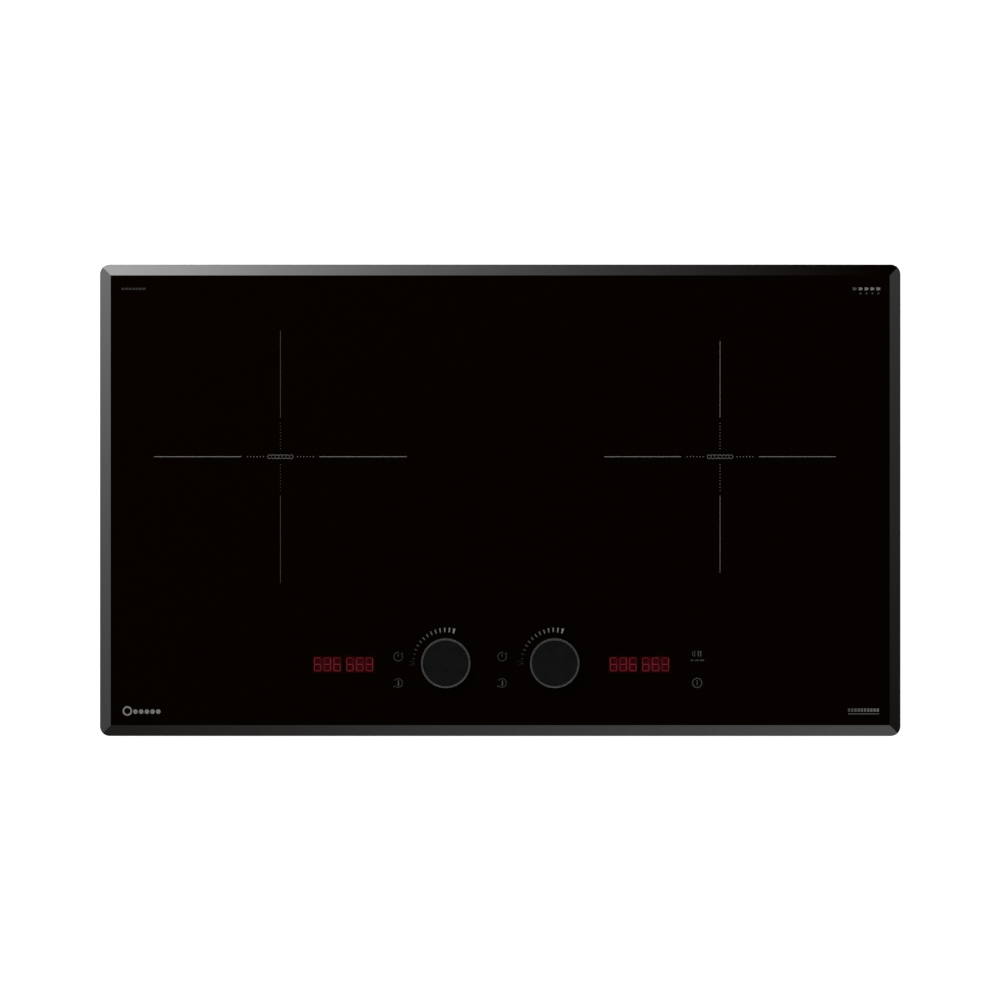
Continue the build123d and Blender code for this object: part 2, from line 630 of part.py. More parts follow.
with BuildPart() as terminal_screws:
    well_floor = TERMINAL_TOP - TERMINAL_WELL
    with BuildSketch(level(well_floor)):
        with Locations((CABLE_X, TERMINAL_Y)), GridLocations(TERMINAL_PITCH, 0, TERMINAL_WAYS, 1):
            Circle(TERMINAL_SCREW_RADIUS)
    extrude(amount=TERMINAL_SCREW_HEIGHT)
    with BuildSketch(level(well_floor + TERMINAL_SCREW_HEIGHT)):
        with Locations((CABLE_X, TERMINAL_Y)), GridLocations(TERMINAL_PITCH, 0, TERMINAL_WAYS, 1):
            Rectangle(TERMINAL_SLOT_LENGTH, TERMINAL_SLOT_WIDTH)
    extrude(amount=-TERMINAL_SLOT_DEPTH, mode=Mode.SUBTRACT)
save(terminal_screws.part, "terminal_screws")


# --- cooking zones: mica, winding, carrier, ferrites, springs, sensor and shield ----------------------------------------
with BuildPart() as mica_discs:
    for zone, radius in zip(ZONES, COIL_RADII):
        with BuildSketch(level_at(zone, ZONE_Y, WINDING_TOP)):
            Circle(radius + CARRIER_LIP)
            Circle(CARRIER_HOLE, mode=Mode.SUBTRACT)
        extrude(amount=MICA_SHEET)
save(mica_discs.part, "mica_discs")


def make_winding(zone, radius):
    """Flat litz winding: each turn shows as a rounded ridge on top."""
    turns = int((radius - WINDING_HOLE) // WIRE_PITCH)
    inner = zone + WINDING_HOLE
    outer = inner + turns * WIRE_PITCH
    shoulder = WINDING_TOP - WINDING_CROWN
    with BuildPart() as winding:
        with BuildSketch(Plane.XZ.offset(-ZONE_Y)):
            with BuildLine():
                for turn in range(turns):
                    left = inner + turn * WIRE_PITCH
                    crown = (left + WIRE_PITCH / 2, WINDING_TOP)
                    ThreePointArc((left, shoulder), crown, (left + WIRE_PITCH, shoulder))
                Polyline((outer, shoulder), (outer, CARRIER_TOP), (inner, CARRIER_TOP), (inner, shoulder))
            make_face()
        revolve(axis=Axis((zone, ZONE_Y, 0), (0, 0, 1)))
    return winding.part


def make_carrier(zone, radius):
    """Plastic coil carrier: a disc with a rim, a centre hole and windows between its spokes."""
    window_end = radius - WINDOW_FROM_EDGE
    with BuildPart() as carrier:
        with BuildSketch(level_at(zone, ZONE_Y, FERRITE_TOP)):
            Circle(radius + CARRIER_LIP)
            Circle(CARRIER_HOLE, mode=Mode.SUBTRACT)
            with PolarLocations((WINDOW_START + window_end) / 2, CARRIER_WINDOWS, start_angle=180 / CARRIER_WINDOWS):
                SlotOverall(window_end - WINDOW_START, WINDOW_WIDTH, mode=Mode.SUBTRACT)
        extrude(amount=CARRIER_SHEET)
        with BuildSketch(level_at(zone, ZONE_Y, CARRIER_TOP)):
            Circle(radius + CARRIER_LIP)
            Circle(radius + CARRIER_LIP - CARRIER_RIM, mode=Mode.SUBTRACT)
        extrude(amount=WINDING_HEIGHT)
    return carrier.part


def make_ferrites(zone, radius):
    """Radial ferrite bars glued under the carrier."""
    length = radius - FERRITE_FROM_EDGE - FERRITE_START
    with BuildPart() as bars:
        with BuildSketch(level_at(zone, ZONE_Y, FERRITE_BOTTOM)):
            with PolarLocations(FERRITE_START + length / 2, FERRITE_BARS):
                Rectangle(length, FERRITE_WIDTH)
        extrude(amount=FERRITE_HEIGHT)
    return bars.part


def make_shield(zone):
    """Aluminium plate under the coil, standing on four legs bent down from its edges."""
    with BuildPart() as shield:
        with BuildSketch(level_at(zone, ZONE_Y, SHIELD_BOTTOM)):
            RectangleRounded(SHIELD_WIDTH, SHIELD_DEPTH, SHIELD_CORNER)
            Circle(SHIELD_HOLE, mode=Mode.SUBTRACT)
        extrude(amount=SHIELD_SHEET)
        with BuildSketch(level_at(zone, ZONE_Y, SHEET)):
            with GridLocations(SHIELD_WIDTH - SHIELD_SHEET, SHIELD_LEG_PITCH, 2, 2):
                Rectangle(SHIELD_SHEET, SHIELD_LEG_WIDTH)
        extrude(amount=SHIELD_TOP - SHEET)
        with BuildSketch(level_at(zone, ZONE_Y, SHEET)):
            with GridLocations(SHIELD_WIDTH - SHIELD_FOOT, SHIELD_LEG_PITCH, 2, 2):
                Rectangle(SHIELD_FOOT, SHIELD_LEG_WIDTH)
        extrude(amount=SHIELD_SHEET)
    return shield.part


for side, zone, radius in zip(SIDES, ZONES, COIL_RADII):
    save(make_winding(zone, radius), f"coil_winding_{side}")
    save(make_carrier(zone, radius), f"coil_carrier_{side}")
    save(make_ferrites(zone, radius), f"ferrite_bars_{side}")
    save(make_shield(zone), f"shield_plate_{side}")

spring_ends = 2 * (SPRING_WIRE + SPRING_GAP)
coil_spring = spring(SPRING_RADIUS, SPRING_WIRE, FERRITE_TOP - SHIELD_TOP - spring_ends, COIL_SPRING_TURNS)
with BuildPart() as coil_springs:
    for zone, radius in zip(ZONES, COIL_RADII):
        ring = radius - COIL_SPRING_FROM_RIM
        for angle in COIL_SPRING_ANGLES:
            turn = math.radians(angle)
            spot = (zone + ring * math.cos(turn), ZONE_Y + ring * math.sin(turn), SHIELD_TOP + spring_ends / 2)
            with Locations(spot):
                add(coil_spring)
save(coil_springs.part, "coil_springs")

with BuildPart() as temperature_sensors:
    for zone in ZONES:
        with BuildSketch(level_at(zone, ZONE_Y, FERRITE_TOP - SENSOR_DROP)):
            Circle(CARRIER_HOLE - SENSOR_GAP)
        extrude(amount=GLASS_BOTTOM - FERRITE_TOP + SENSOR_DROP)
        with BuildSketch(level_at(zone, ZONE_Y, CARRIER_TOP)):
            Circle(CARRIER_HOLE + SENSOR_FLANGE)
        extrude(amount=SENSOR_FLANGE_HEIGHT)
save(temperature_sensors.part, "temperature_sensors")


# --- power electronics under each coil -----------------------------------------------------------------------------------
def inward(zone):
    """-1 or 1: the way from a zone towards the hob's centre line."""
    return -1 if zone > 0 else 1


def sink_centre(zone):
    return zone + inward(zone) * (BOARD_WIDTH / 2 - SINK_FROM_EDGE - SINK_WIDTH / 2)


def make_power_board(zone):
    with BuildPart() as board:
        with BuildSketch(level_at(zone, ZONE_Y, BOARD_BOTTOM)):
            RectangleRounded(BOARD_WIDTH, BOARD_DEPTH, BOARD_CORNER)
        extrude(amount=BOARD_SHEET)
    return board.part


def make_heat_sink(zone):
    """Extruded aluminium: a base, a bare shelf for the transistors, and fins on the rest."""
    centre = sink_centre(zone)
    way = inward(zone)
    height = SHIELD_BOTTOM - SINK_AIR - BOARD_TOP
    fin_pitch = (SINK_WIDTH - SINK_SHELF - SINK_FIN) / (SINK_FINS - 1)
    first_fin = centre - way * (SINK_WIDTH / 2 - SINK_SHELF - SINK_FIN / 2)
    with BuildPart() as sink:
        with BuildSketch(Plane.XZ.offset(-ZONE_Y)):
            with Locations((centre, BOARD_TOP + SINK_BASE / 2)):
                Rectangle(SINK_WIDTH, SINK_BASE)
            for fin in range(SINK_FINS):
                with Locations((first_fin + way * fin * fin_pitch, BOARD_TOP + height / 2)):
                    Rectangle(SINK_FIN, height)
        extrude(amount=SINK_LENGTH / 2, both=True)
    return sink.part


for side, zone in zip(SIDES, ZONES):
    save(make_power_board(zone), f"power_board_{side}")
    save(make_heat_sink(zone), f"heat_sink_{side}")

with BuildPart() as power_transistors:
    for zone in ZONES:
        shelf = sink_centre(zone) - inward(zone) * (SINK_WIDTH / 2 - SINK_SHELF / 2 + TRANSISTOR_SHIFT)
        with BuildSketch(level_at(shelf, ZONE_Y, BOARD_TOP + SINK_BASE)):
            with GridLocations(0, SINK_LENGTH / TRANSISTORS, 1, TRANSISTORS):
                Rectangle(TRANSISTOR_WIDTH, TRANSISTOR_DEPTH)
                Circle(TRANSISTOR_HOLE, mode=Mode.SUBTRACT)
        extrude(amount=TRANSISTOR_HEIGHT)
save(power_transistors.part, "power_transistors")

with BuildPart() as film_capacitors:
    for zone in ZONES:
        column = zone - inward(zone) * CAPACITOR_FROM_ZONE
        with BuildSketch(level_at(column, ZONE_Y, BOARD_TOP)):
            with GridLocations(0, CAPACITOR_PITCH, 1, CAPACITORS):
                RectangleRounded(CAPACITOR_WIDTH, CAPACITOR_DEPTH, CAPACITOR_CORNER)
        extrude(amount=SHIELD_BOTTOM - CAPACITOR_AIR - BOARD_TOP)
save(film_capacitors.part, "film_capacitors")

with BuildPart() as filter_chokes:
    for zone in ZONES:
        column = zone - inward(zone) * (BOARD_WIDTH / 2 - CHOKE_RADIUS - CHOKE_WIRE - CHOKE_FROM_EDGE)
        for dy in (-CHOKE_FROM_ZONE, CHOKE_FROM_ZONE):
            with Locations((column, ZONE_Y + dy, BOARD_TOP + CHOKE_WIRE)):
                Torus(CHOKE_RADIUS, CHOKE_WIRE)
save(filter_chokes.part, "filter_chokes")

# --- cooling fans: frame with sleeve bearing, stator, bladed rotor and shaft ------------------------------------------------
FAN_FLOOR = SHEET
ROTOR_BOTTOM = FAN_FLOOR + FAN_PLATE + ROTOR_LIFT
ROTOR_TOP = FAN_FLOOR + FAN_HEIGHT - ROTOR_SINK


def make_fan_frame():
    hole_pitch = FAN_SIZE - 2 * FAN_HOLE_INSET
    strut = FAN_BORE / 2 + FAN_STRUT_RUN - FAN_STRUT_START
    with BuildPart() as frame:
        with BuildSketch(level(FAN_FLOOR)):
            RectangleRounded(FAN_SIZE, FAN_SIZE, FAN_CORNER)
            Circle(FAN_BORE / 2, mode=Mode.SUBTRACT)
            with GridLocations(hole_pitch, hole_pitch, 2, 2):
                Circle(FAN_HOLE_RADIUS, mode=Mode.SUBTRACT)
        extrude(amount=FAN_HEIGHT)
        with BuildSketch(level(FAN_FLOOR)):
            Circle(FAN_HUB_RADIUS + FAN_HUB_SEAT)
            with PolarLocations(FAN_STRUT_START + strut / 2, FAN_STRUTS, start_angle=180 / FAN_STRUTS):
                Rectangle(strut, FAN_STRUT_WIDTH)
        extrude(amount=FAN_PLATE)
        with BuildSketch(level(FAN_FLOOR + FAN_PLATE)):
            Circle(FAN_SLEEVE_RADIUS)
        extrude(amount=FAN_SLEEVE_TOP - FAN_FLOOR - FAN_PLATE)
        with BuildSketch(level(FAN_FLOOR + FAN_BORE_FLOOR)):
            Circle(FAN_SHAFT_RADIUS + SHAFT_CLEARANCE)
        extrude(amount=FAN_SLEEVE_TOP, mode=Mode.SUBTRACT)
    return frame.part


def blade_section(radius, pitch):
    """Sketch plane at a radius, turned to the blade's pitch there."""
    middle = (ROTOR_BOTTOM + ROTOR_TOP) / 2
    chord_way = (0, math.cos(math.radians(pitch)), math.sin(math.radians(pitch)))
    return Plane(origin=(radius, 0, middle), x_dir=chord_way, z_dir=(1, 0, 0))


def make_fan_rotor():
    root = FAN_HUB_RADIUS - FAN_HUB_WALL / 2
    tip = FAN_BORE / 2 - FAN_TIP_GAP
    with BuildPart() as blade:
        with BuildSketch(blade_section(root, BLADE_PITCH_ROOT)):
            SlotOverall(BLADE_CHORD_ROOT, BLADE_SHEET)
        with BuildSketch(blade_section(tip, BLADE_PITCH_TIP)):
            SlotOverall(BLADE_CHORD_TIP, BLADE_SHEET)
        loft()
    with BuildPart() as rotor:
        with BuildSketch(level(ROTOR_BOTTOM)):
            Circle(FAN_HUB_RADIUS)
        extrude(amount=ROTOR_TOP - ROTOR_BOTTOM)
        with PolarLocations(0, FAN_BLADES):
            add(blade.part)
        with BuildSketch(level(ROTOR_BOTTOM)):
            Circle(FAN_HUB_RADIUS - FAN_HUB_WALL)
        extrude(amount=ROTOR_TOP - ROTOR_BOTTOM - FAN_HUB_WALL, mode=Mode.SUBTRACT)
        with BuildSketch(level(ROTOR_BOTTOM)):
            Circle(FAN_SHAFT_RADIUS)
        extrude(amount=ROTOR_TOP - ROTOR_BOTTOM, mode=Mode.SUBTRACT)
    return rotor.part


def make_fan_shaft():
    bottom = FAN_FLOOR + FAN_BORE_FLOOR + FAN_SHAFT_LIFT
    with BuildPart() as shaft:
        with BuildSketch(level(bottom)):
            Circle(FAN_SHAFT_RADIUS)
        extrude(amount=ROTOR_TOP - bottom)
    return shaft.part


fan_frame = make_fan_frame()
fan_rotor = make_fan_rotor()
fan_shaft = make_fan_shaft()
for side, fan in zip(SIDES, FANS):
    place = Pos(fan, FAN_Y, 0)
    save(place * fan_frame, f"fan_frame_{side}")
    save(place * fan_rotor, f"fan_rotor_{side}")
    save(place * fan_shaft, f"fan_shaft_{side}")

with BuildPart() as fan_stators:
    for fan in FANS:
        with BuildSketch(level_at(fan, FAN_Y, FAN_FLOOR + FAN_PLATE + STATOR_LIFT)):
            Circle(STATOR_RADIUS)
            with PolarLocations(STATOR_RADIUS - STATOR_SLOT_FROM_EDGE, STATOR_POLES, start_angle=180 / STATOR_POLES):
                SlotOverall(STATOR_SLOT_LENGTH, STATOR_SLOT_WIDTH, mode=Mode.SUBTRACT)
            Circle(FAN_SLEEVE_RADIUS, mode=Mode.SUBTRACT)
        extrude(amount=STATOR_HEIGHT)
save(fan_stators.part, "fan_stators")

# --- controls: board, the trough that holds it, touch springs and displays ----------------------------------------------------
with BuildPart() as control_board:
    with BuildSketch(level_at(CONTROL_X, CONTROL_Y, CONTROL_BOTTOM)):
        RectangleRounded(CONTROL_WIDTH, CONTROL_DEPTH, BOARD_CORNER)
    extrude(amount=BOARD_SHEET)
save(control_board.part, "control_board")

with BuildPart() as control_carrier:
    window_pitch = CONTROL_WIDTH / TROUGH_WINDOWS
    with BuildSketch(level_at(CONTROL_X, CONTROL_Y, CONTROL_BOTTOM - TROUGH_FLOOR)):
        Rectangle(CONTROL_WIDTH + 2 * (TROUGH_SLACK + TROUGH_WALL), CONTROL_DEPTH)
        with GridLocations(window_pitch, 0, TROUGH_WINDOWS, 1):
            RectangleRounded(
                window_pitch - TROUGH_BAR,
                CONTROL_DEPTH - 2 * TROUGH_EDGE,
                TROUGH_WINDOW_CORNER,
                mode=Mode.SUBTRACT,
            )
    extrude(amount=TROUGH_FLOOR)
    with BuildSketch(level_at(CONTROL_X, CONTROL_Y, CONTROL_BOTTOM)):
        with GridLocations(CONTROL_WIDTH + 2 * TROUGH_SLACK + TROUGH_WALL, 0, 2, 1):
            Rectangle(TROUGH_WALL, CONTROL_DEPTH)
    extrude(amount=BOARD_SHEET + TROUGH_LIP)
    with BuildSketch(level_at(CONTROL_X, CONTROL_Y, SHEET)):
        leg_pitch = CONTROL_WIDTH / (TROUGH_LEG_COLUMNS - 1)
        with GridLocations(leg_pitch, CONTROL_DEPTH - 2 * TROUGH_LEG_INSET, TROUGH_LEG_COLUMNS, 2):
            Circle(TROUGH_LEG_RADIUS)
    extrude(amount=CONTROL_BOTTOM - TROUGH_FLOOR - SHEET)
save(control_carrier.part, "control_carrier")

touch_spring = spring(SPRING_RADIUS, SPRING_WIRE, CONTROL_DROP - spring_ends, TOUCH_SPRING_TURNS)
with BuildPart() as touch_springs:
    with Locations(*[(x, y, CONTROL_TOP + spring_ends / 2) for x, y in KEYS]):
        add(touch_spring)
save(touch_springs.part, "touch_springs")

for side, x in zip(SIDES, DISPLAY_FROM_CENTRE):
    display_y = KNOB_Y - DISPLAY_BELOW_KNOBS
    with BuildPart() as display:
        with BuildSketch(level_at(x, display_y, CONTROL_TOP)):
            RectangleRounded(DISPLAY_WIDTH, DISPLAY_DEPTH, DISPLAY_CORNER)
        extrude(amount=CONTROL_DROP - DISPLAY_GAP)
        with BuildSketch(level_at(x, display_y, GLASS_BOTTOM - DISPLAY_GAP)):
            with GridLocations(DIGIT_GROUP_PITCH, 0, 2, 1):
                Rectangle(3 * DIGIT_PITCH, DISPLAY_DEPTH - 2 * DIGIT_WINDOW_INSET)
        extrude(amount=-DIGIT_WINDOW_DEPTH, mode=Mode.SUBTRACT)
    save(display.part, f"display_{side}")


# --- rotary encoders: body on the board, D-shaft through a sealed hole in the glass ---------------------------------------------
def make_encoder_body():
    bore = ENCODER_SHAFT_RADIUS + SHAFT_CLEARANCE
    with BuildPart() as body:
        with BuildSketch(level(CONTROL_TOP)):
            RectangleRounded(ENCODER_BODY, ENCODER_BODY, ENCODER_CORNER)
        extrude(amount=ENCODER_BODY_HEIGHT)
        with BuildSketch(level(CONTROL_TOP + ENCODER_BODY_HEIGHT)):
            Circle(ENCODER_SHAFT_RADIUS + BUSHING_WALL)
        extrude(amount=CONTROL_DROP - ENCODER_BODY_HEIGHT - BUSHING_TO_GLASS)
        with BuildSketch(level(SHAFT_BOTTOM - BORE_RUN)):
            Circle(bore)
        extrude(amount=CONTROL_DROP, mode=Mode.SUBTRACT)
        with BuildSketch(level(COLLAR_BOTTOM - CAVITY_SLACK / 2)):
            Circle(COLLAR_RADIUS + CAVITY_SLACK)
        extrude(amount=COLLAR_HEIGHT + CAVITY_SLACK, mode=Mode.SUBTRACT)
    return body.part


def make_encoder_shaft():
    with BuildPart() as shaft:
        with BuildSketch(level(SHAFT_BOTTOM)):
            Circle(ENCODER_SHAFT_RADIUS)
        extrude(amount=SHAFT_TOP - SHAFT_BOTTOM)
        chamfer(shaft.faces().sort_by(Axis.Z)[-1].edges(), SHAFT_CHAMFER)
        with BuildSketch(level(COLLAR_BOTTOM)):
            Circle(COLLAR_RADIUS)
        extrude(amount=COLLAR_HEIGHT)
        with BuildSketch(level(GLASS_TOP + FLAT_ABOVE_GLASS)):
            with Locations((0, SHAFT_FLAT + ENCODER_SHAFT_RADIUS)):
                Rectangle(4 * ENCODER_SHAFT_RADIUS, 2 * ENCODER_SHAFT_RADIUS)
        extrude(amount=SHAFT_TOP, mode=Mode.SUBTRACT)
    return shaft.part


# --- knobs: cap with a D-bored boss, and a metal rim pressed round it -----------------------------------------------------------
def make_knob_cap():
    bore = ENCODER_SHAFT_RADIUS + SHAFT_CLEARANCE
    flat = SHAFT_FLAT + SHAFT_CLEARANCE
    cap_bottom = KNOB_BOTTOM + LIP_HEIGHT
    cap_top = KNOB_TOP - CAP_DISH
    with BuildPart() as cap:
        with BuildSketch(level(cap_bottom)):
            Circle(CAP_RADIUS)
        extrude(amount=cap_top - cap_bottom)
        fillet(cap.faces().sort_by(Axis.Z)[-1].edges(), CAP_FILLET)
        with BuildSketch(level(cap_bottom)):
            Circle(CAP_RADIUS - KNOB_WALL)
            Circle(ENCODER_SHAFT_RADIUS + BOSS_WALL, mode=Mode.SUBTRACT)
        extrude(amount=cap_top - cap_bottom - KNOB_WALL, mode=Mode.SUBTRACT)
        with BuildSketch(level(cap_bottom)):
            Circle(bore)
            with Locations((0, flat + bore)):
                Rectangle(4 * bore, 2 * bore, mode=Mode.SUBTRACT)
        extrude(amount=SHAFT_TOP + BOSS_RUN - cap_bottom, mode=Mode.SUBTRACT)
    return cap.part


def make_knob_ring():
    with BuildPart() as ring:
        with BuildSketch(level(KNOB_BOTTOM)):
            Circle(KNOB_RADIUS)
            Circle(CAP_RADIUS - LIP_DEPTH, mode=Mode.SUBTRACT)
        extrude(amount=LIP_HEIGHT)
        with BuildSketch(level(KNOB_BOTTOM + LIP_HEIGHT)):
            Circle(KNOB_RADIUS)
            Circle(CAP_RADIUS, mode=Mode.SUBTRACT)
        extrude(amount=KNOB_HEIGHT - LIP_HEIGHT)
        chamfer(ring.edges().filter_by(GeomType.CIRCLE).sort_by(Axis.Z)[-2:], KNOB_CHAMFER)
        with BuildSketch(level(KNOB_BOTTOM + KNOB_BAND_Z)):
            Circle(KNOB_RADIUS + DRILL_RUN)
            Circle(KNOB_RADIUS - KNOB_BAND_DEPTH, mode=Mode.SUBTRACT)
        extrude(amount=KNOB_BAND_HEIGHT, mode=Mode.SUBTRACT)
    return ring.part


encoder_body = make_encoder_body()
encoder_shaft = make_encoder_shaft()
knob_cap = make_knob_cap()
knob_ring = make_knob_ring()
for side, x in zip(SIDES, KNOBS):
    place = Pos(x, KNOB_Y, 0)
    save(place * encoder_body, f"encoder_body_{side}")
    save(place * encoder_shaft, f"encoder_shaft_{side}")
    save(place * knob_cap, f"knob_cap_{side}")
    save(place * knob_ring, f"knob_ring_{side}")

with BuildPart() as shaft_seals:
    for x in KNOBS:
        with BuildSketch(level_at(x, KNOB_Y, GLASS_BOTTOM - SEAL_FLANGE_SHEET)):
            Circle(GLASS_HOLE_RADIUS + SEAL_FLANGE)
            Circle(ENCODER_SHAFT_RADIUS + SEAL_CLEARANCE, mode=Mode.SUBTRACT)
        extrude(amount=SEAL_FLANGE_SHEET)
        with BuildSketch(level_at(x, KNOB_Y, GLASS_BOTTOM)):
            Circle(GLASS_HOLE_RADIUS)
            Circle(ENCODER_SHAFT_RADIUS + SEAL_CLEARANCE, mode=Mode.SUBTRACT)
        extrude(amount=GLASS_THICKNESS)
save(shaft_seals.part, "shaft_seals")

# --- worktop clamps: bracket on the tray wall, vertical screw, swinging arm -------------------------------------------------------
CORNERS = (("back_right", 1, 1), ("front_right", 1, -1), ("back_left", -1, 1), ("front_left", -1, -1))


def mirrored(part, x_sign, y_sign):
    """A piece made for the back right corner, carried to another corner."""
    if x_sign < 0:
        part = mirror(part, about=Plane.YZ, mode=Mode.PRIVATE)
    if y_sign < 0:
        part = mirror(part, about=Plane.XZ, mode=Mode.PRIVATE)
    return part


with BuildPart() as clamp_bracket:
    bracket_middle = (BRACKET_BOTTOM + BRACKET_TOP) / 2
    with BuildSketch(Plane.XZ.offset(-CLAMP_FROM_CENTRE)):
        with Locations((TRAY_SIDE + BRACKET_SHEET / 2, bracket_middle)):
            Rectangle(BRACKET_SHEET, BRACKET_TOP - BRACKET_BOTTOM)
        with Locations((TRAY_SIDE + BRACKET_OUT / 2, bracket_middle)):
            with GridLocations(0, BRACKET_TOP - BRACKET_BOTTOM - BRACKET_SHEET, 1, 2):
                Rectangle(BRACKET_OUT, BRACKET_SHEET)
    extrude(amount=BRACKET_WIDTH / 2, both=True)
    with BuildSketch(level_at(CLAMP_X, CLAMP_FROM_CENTRE, 0)):
        Circle(CLAMP_SCREW_RADIUS + SCREW_CLEARANCE)
    extrude(amount=TRAY_HEIGHT, mode=Mode.SUBTRACT)

with BuildPart() as clamp_screw:
    head_bottom = BRACKET_BOTTOM - CLAMP_HEAD_HEIGHT
    with BuildSketch(level_at(CLAMP_X, CLAMP_FROM_CENTRE, head_bottom)):
        Circle(CLAMP_HEAD_RADIUS)
    extrude(amount=CLAMP_HEAD_HEIGHT)
    with BuildSketch(level_at(CLAMP_X, CLAMP_FROM_CENTRE, head_bottom)):
        Rectangle(CLAMP_SLOT_LENGTH, CLAMP_SLOT_WIDTH)
        Rectangle(CLAMP_SLOT_WIDTH, CLAMP_SLOT_LENGTH)
    extrude(amount=CLAMP_SLOT_DEPTH, mode=Mode.SUBTRACT)
    with BuildSketch(level_at(CLAMP_X, CLAMP_FROM_CENTRE, BRACKET_BOTTOM)):
        Circle(CLAMP_SCREW_RADIUS)
    extrude(amount=CLAMP_SCREW_TOP - BRACKET_BOTTOM)
    chamfer(clamp_screw.faces().sort_by(Axis.Z)[-1].edges(), CLAMP_SCREW_CHAMFER)

with BuildPart() as clamp_arm:
    with BuildSketch(level_at(CLAMP_X, CLAMP_FROM_CENTRE, ARM_Z)):
        Circle(CLAMP_WIDTH / 2)
        with Locations((0, -CLAMP_REACH / 2)):
            Rectangle(CLAMP_WIDTH, CLAMP_REACH)
    extrude(amount=CLAMP_SHEET)
    with BuildSketch(level_at(CLAMP_X, CLAMP_FROM_CENTRE, ARM_Z + CLAMP_SHEET)):
        Circle(ARM_COLLAR_RADIUS)
    extrude(amount=ARM_COLLAR_HEIGHT - CLAMP_SHEET)
    with BuildSketch(level_at(CLAMP_X, CLAMP_FROM_CENTRE, ARM_Z + CLAMP_SHEET)):
        with Locations((0, CLAMP_SHEET / 2 - CLAMP_REACH)):
            Rectangle(CLAMP_WIDTH, CLAMP_SHEET)
        with Locations((0, -CLAMP_REACH / 2)):
            Rectangle(ARM_RIB, CLAMP_REACH)
    extrude(amount=ARM_LIP)
    with BuildSketch(level_at(CLAMP_X, CLAMP_FROM_CENTRE, ARM_Z)):
        Circle(CLAMP_SCREW_RADIUS + SCREW_CLEARANCE)
    extrude(amount=ARM_COLLAR_HEIGHT + DRILL_RUN, mode=Mode.SUBTRACT)

with BuildPart() as clamp_brackets:
    for _, x_sign, y_sign in CORNERS:
        add(mirrored(clamp_bracket.part, x_sign, y_sign))
save(clamp_brackets.part, "clamp_brackets")
for name, x_sign, y_sign in CORNERS:
    save(mirrored(clamp_screw.part, x_sign, y_sign), f"clamp_screw_{name}")
    save(mirrored(clamp_arm.part, x_sign, y_sign), f"clamp_arm_{name}")


# --- wiring harness: coil leads, mains leads and the ribbon to the controls ---------------------------------------------------------
def coil_lead(x, radius):
    """From the coil carrier's front edge, past the shield plate, down to the power board."""
    edge = ZONE_Y - radius + LEAD_INSIDE_COIL
    landing = ZONE_Y - BOARD_DEPTH / 2 + LEAD_ON_BOARD
    low = BOARD_TOP + LEAD_LEVEL
    points = [(x, edge, FERRITE_TOP), (x, edge, low), (x, landing, low), (x, landing, BOARD_TOP)]
    return tube_along(points, LEAD_RADIUS, LEAD_BEND)


def mains_lead(x):
    """From the terminal block's front face to the left power board's back edge."""
    start = TERMINAL_Y - TERMINAL_DEPTH / 2
    landing = ZONE_Y + BOARD_DEPTH / 2 - MAINS_ON_BOARD
    low = BOARD_TOP + MAINS_LEVEL
    return tube_along([(x, start, low), (x, landing, low), (x, landing, BOARD_TOP)], MAINS_RADIUS, MAINS_BEND)


def ribbon():
    """Flat cable from the control board's back edge to the left power board's front edge."""
    x = ZONES[0] + BOARD_WIDTH / 2 - RIBBON_FROM_EDGE
    start = KNOB_Y + CONTROL_BEHIND
    landing = ZONE_Y - BOARD_DEPTH / 2
    middle = (start + landing) / 2
    low = BOARD_BOTTOM + BOARD_SHEET / 2
    high = CONTROL_BOTTOM + BOARD_SHEET / 2
    points = [(x, start, high), (x, middle, high), (x, middle, low), (x, landing, low)]
    with BuildPart() as cable:
        with BuildLine() as path:
            FilletPolyline(*points, radius=RIBBON_BEND)
        with BuildSketch(Plane(origin=path.line @ 0, x_dir=(1, 0, 0), z_dir=path.line % 0)):
            Rectangle(RIBBON_WIDTH, RIBBON_SHEET)
        sweep(path=path.line)
    return cable.part


with BuildPart() as wiring_harness:
    for zone, radius in zip(ZONES, COIL_RADII):
        add(coil_lead(zone - LEAD_SPACING / 2, radius))
        add(coil_lead(zone + LEAD_SPACING / 2, radius))
    for way in (-1, 0, 1):
        add(mains_lead(CABLE_X + way * TERMINAL_PITCH))
    add(ribbon())
save(wiring_harness.part, "wiring_harness")
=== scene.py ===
"""Looks of the built-in induction hob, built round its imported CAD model.

Metres. +X is to the user's right, +Y away from the user, +Z up. MM turns millimetres into metres.
"""

import json
import math

import bmesh
import bpy
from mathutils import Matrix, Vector


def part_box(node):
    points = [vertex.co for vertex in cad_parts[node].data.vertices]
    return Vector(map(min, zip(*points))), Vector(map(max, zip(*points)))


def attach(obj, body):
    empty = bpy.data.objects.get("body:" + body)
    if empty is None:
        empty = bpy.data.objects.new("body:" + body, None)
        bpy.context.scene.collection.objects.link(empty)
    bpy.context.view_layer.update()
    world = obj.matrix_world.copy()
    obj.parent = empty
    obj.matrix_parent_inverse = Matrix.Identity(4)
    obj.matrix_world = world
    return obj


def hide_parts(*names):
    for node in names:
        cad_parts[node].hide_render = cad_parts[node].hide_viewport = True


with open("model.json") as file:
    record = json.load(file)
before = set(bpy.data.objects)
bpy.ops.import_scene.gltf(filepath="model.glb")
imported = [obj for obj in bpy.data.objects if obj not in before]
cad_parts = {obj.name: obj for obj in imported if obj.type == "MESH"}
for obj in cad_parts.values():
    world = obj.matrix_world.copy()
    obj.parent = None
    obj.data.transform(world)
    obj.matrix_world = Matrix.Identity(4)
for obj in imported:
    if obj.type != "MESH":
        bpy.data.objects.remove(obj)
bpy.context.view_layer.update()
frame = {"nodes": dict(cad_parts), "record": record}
NODES = frame["nodes"]
MM = 0.001
TAU = 2 * math.pi
CORNERS = ("back_right", "front_right", "back_left", "front_left")


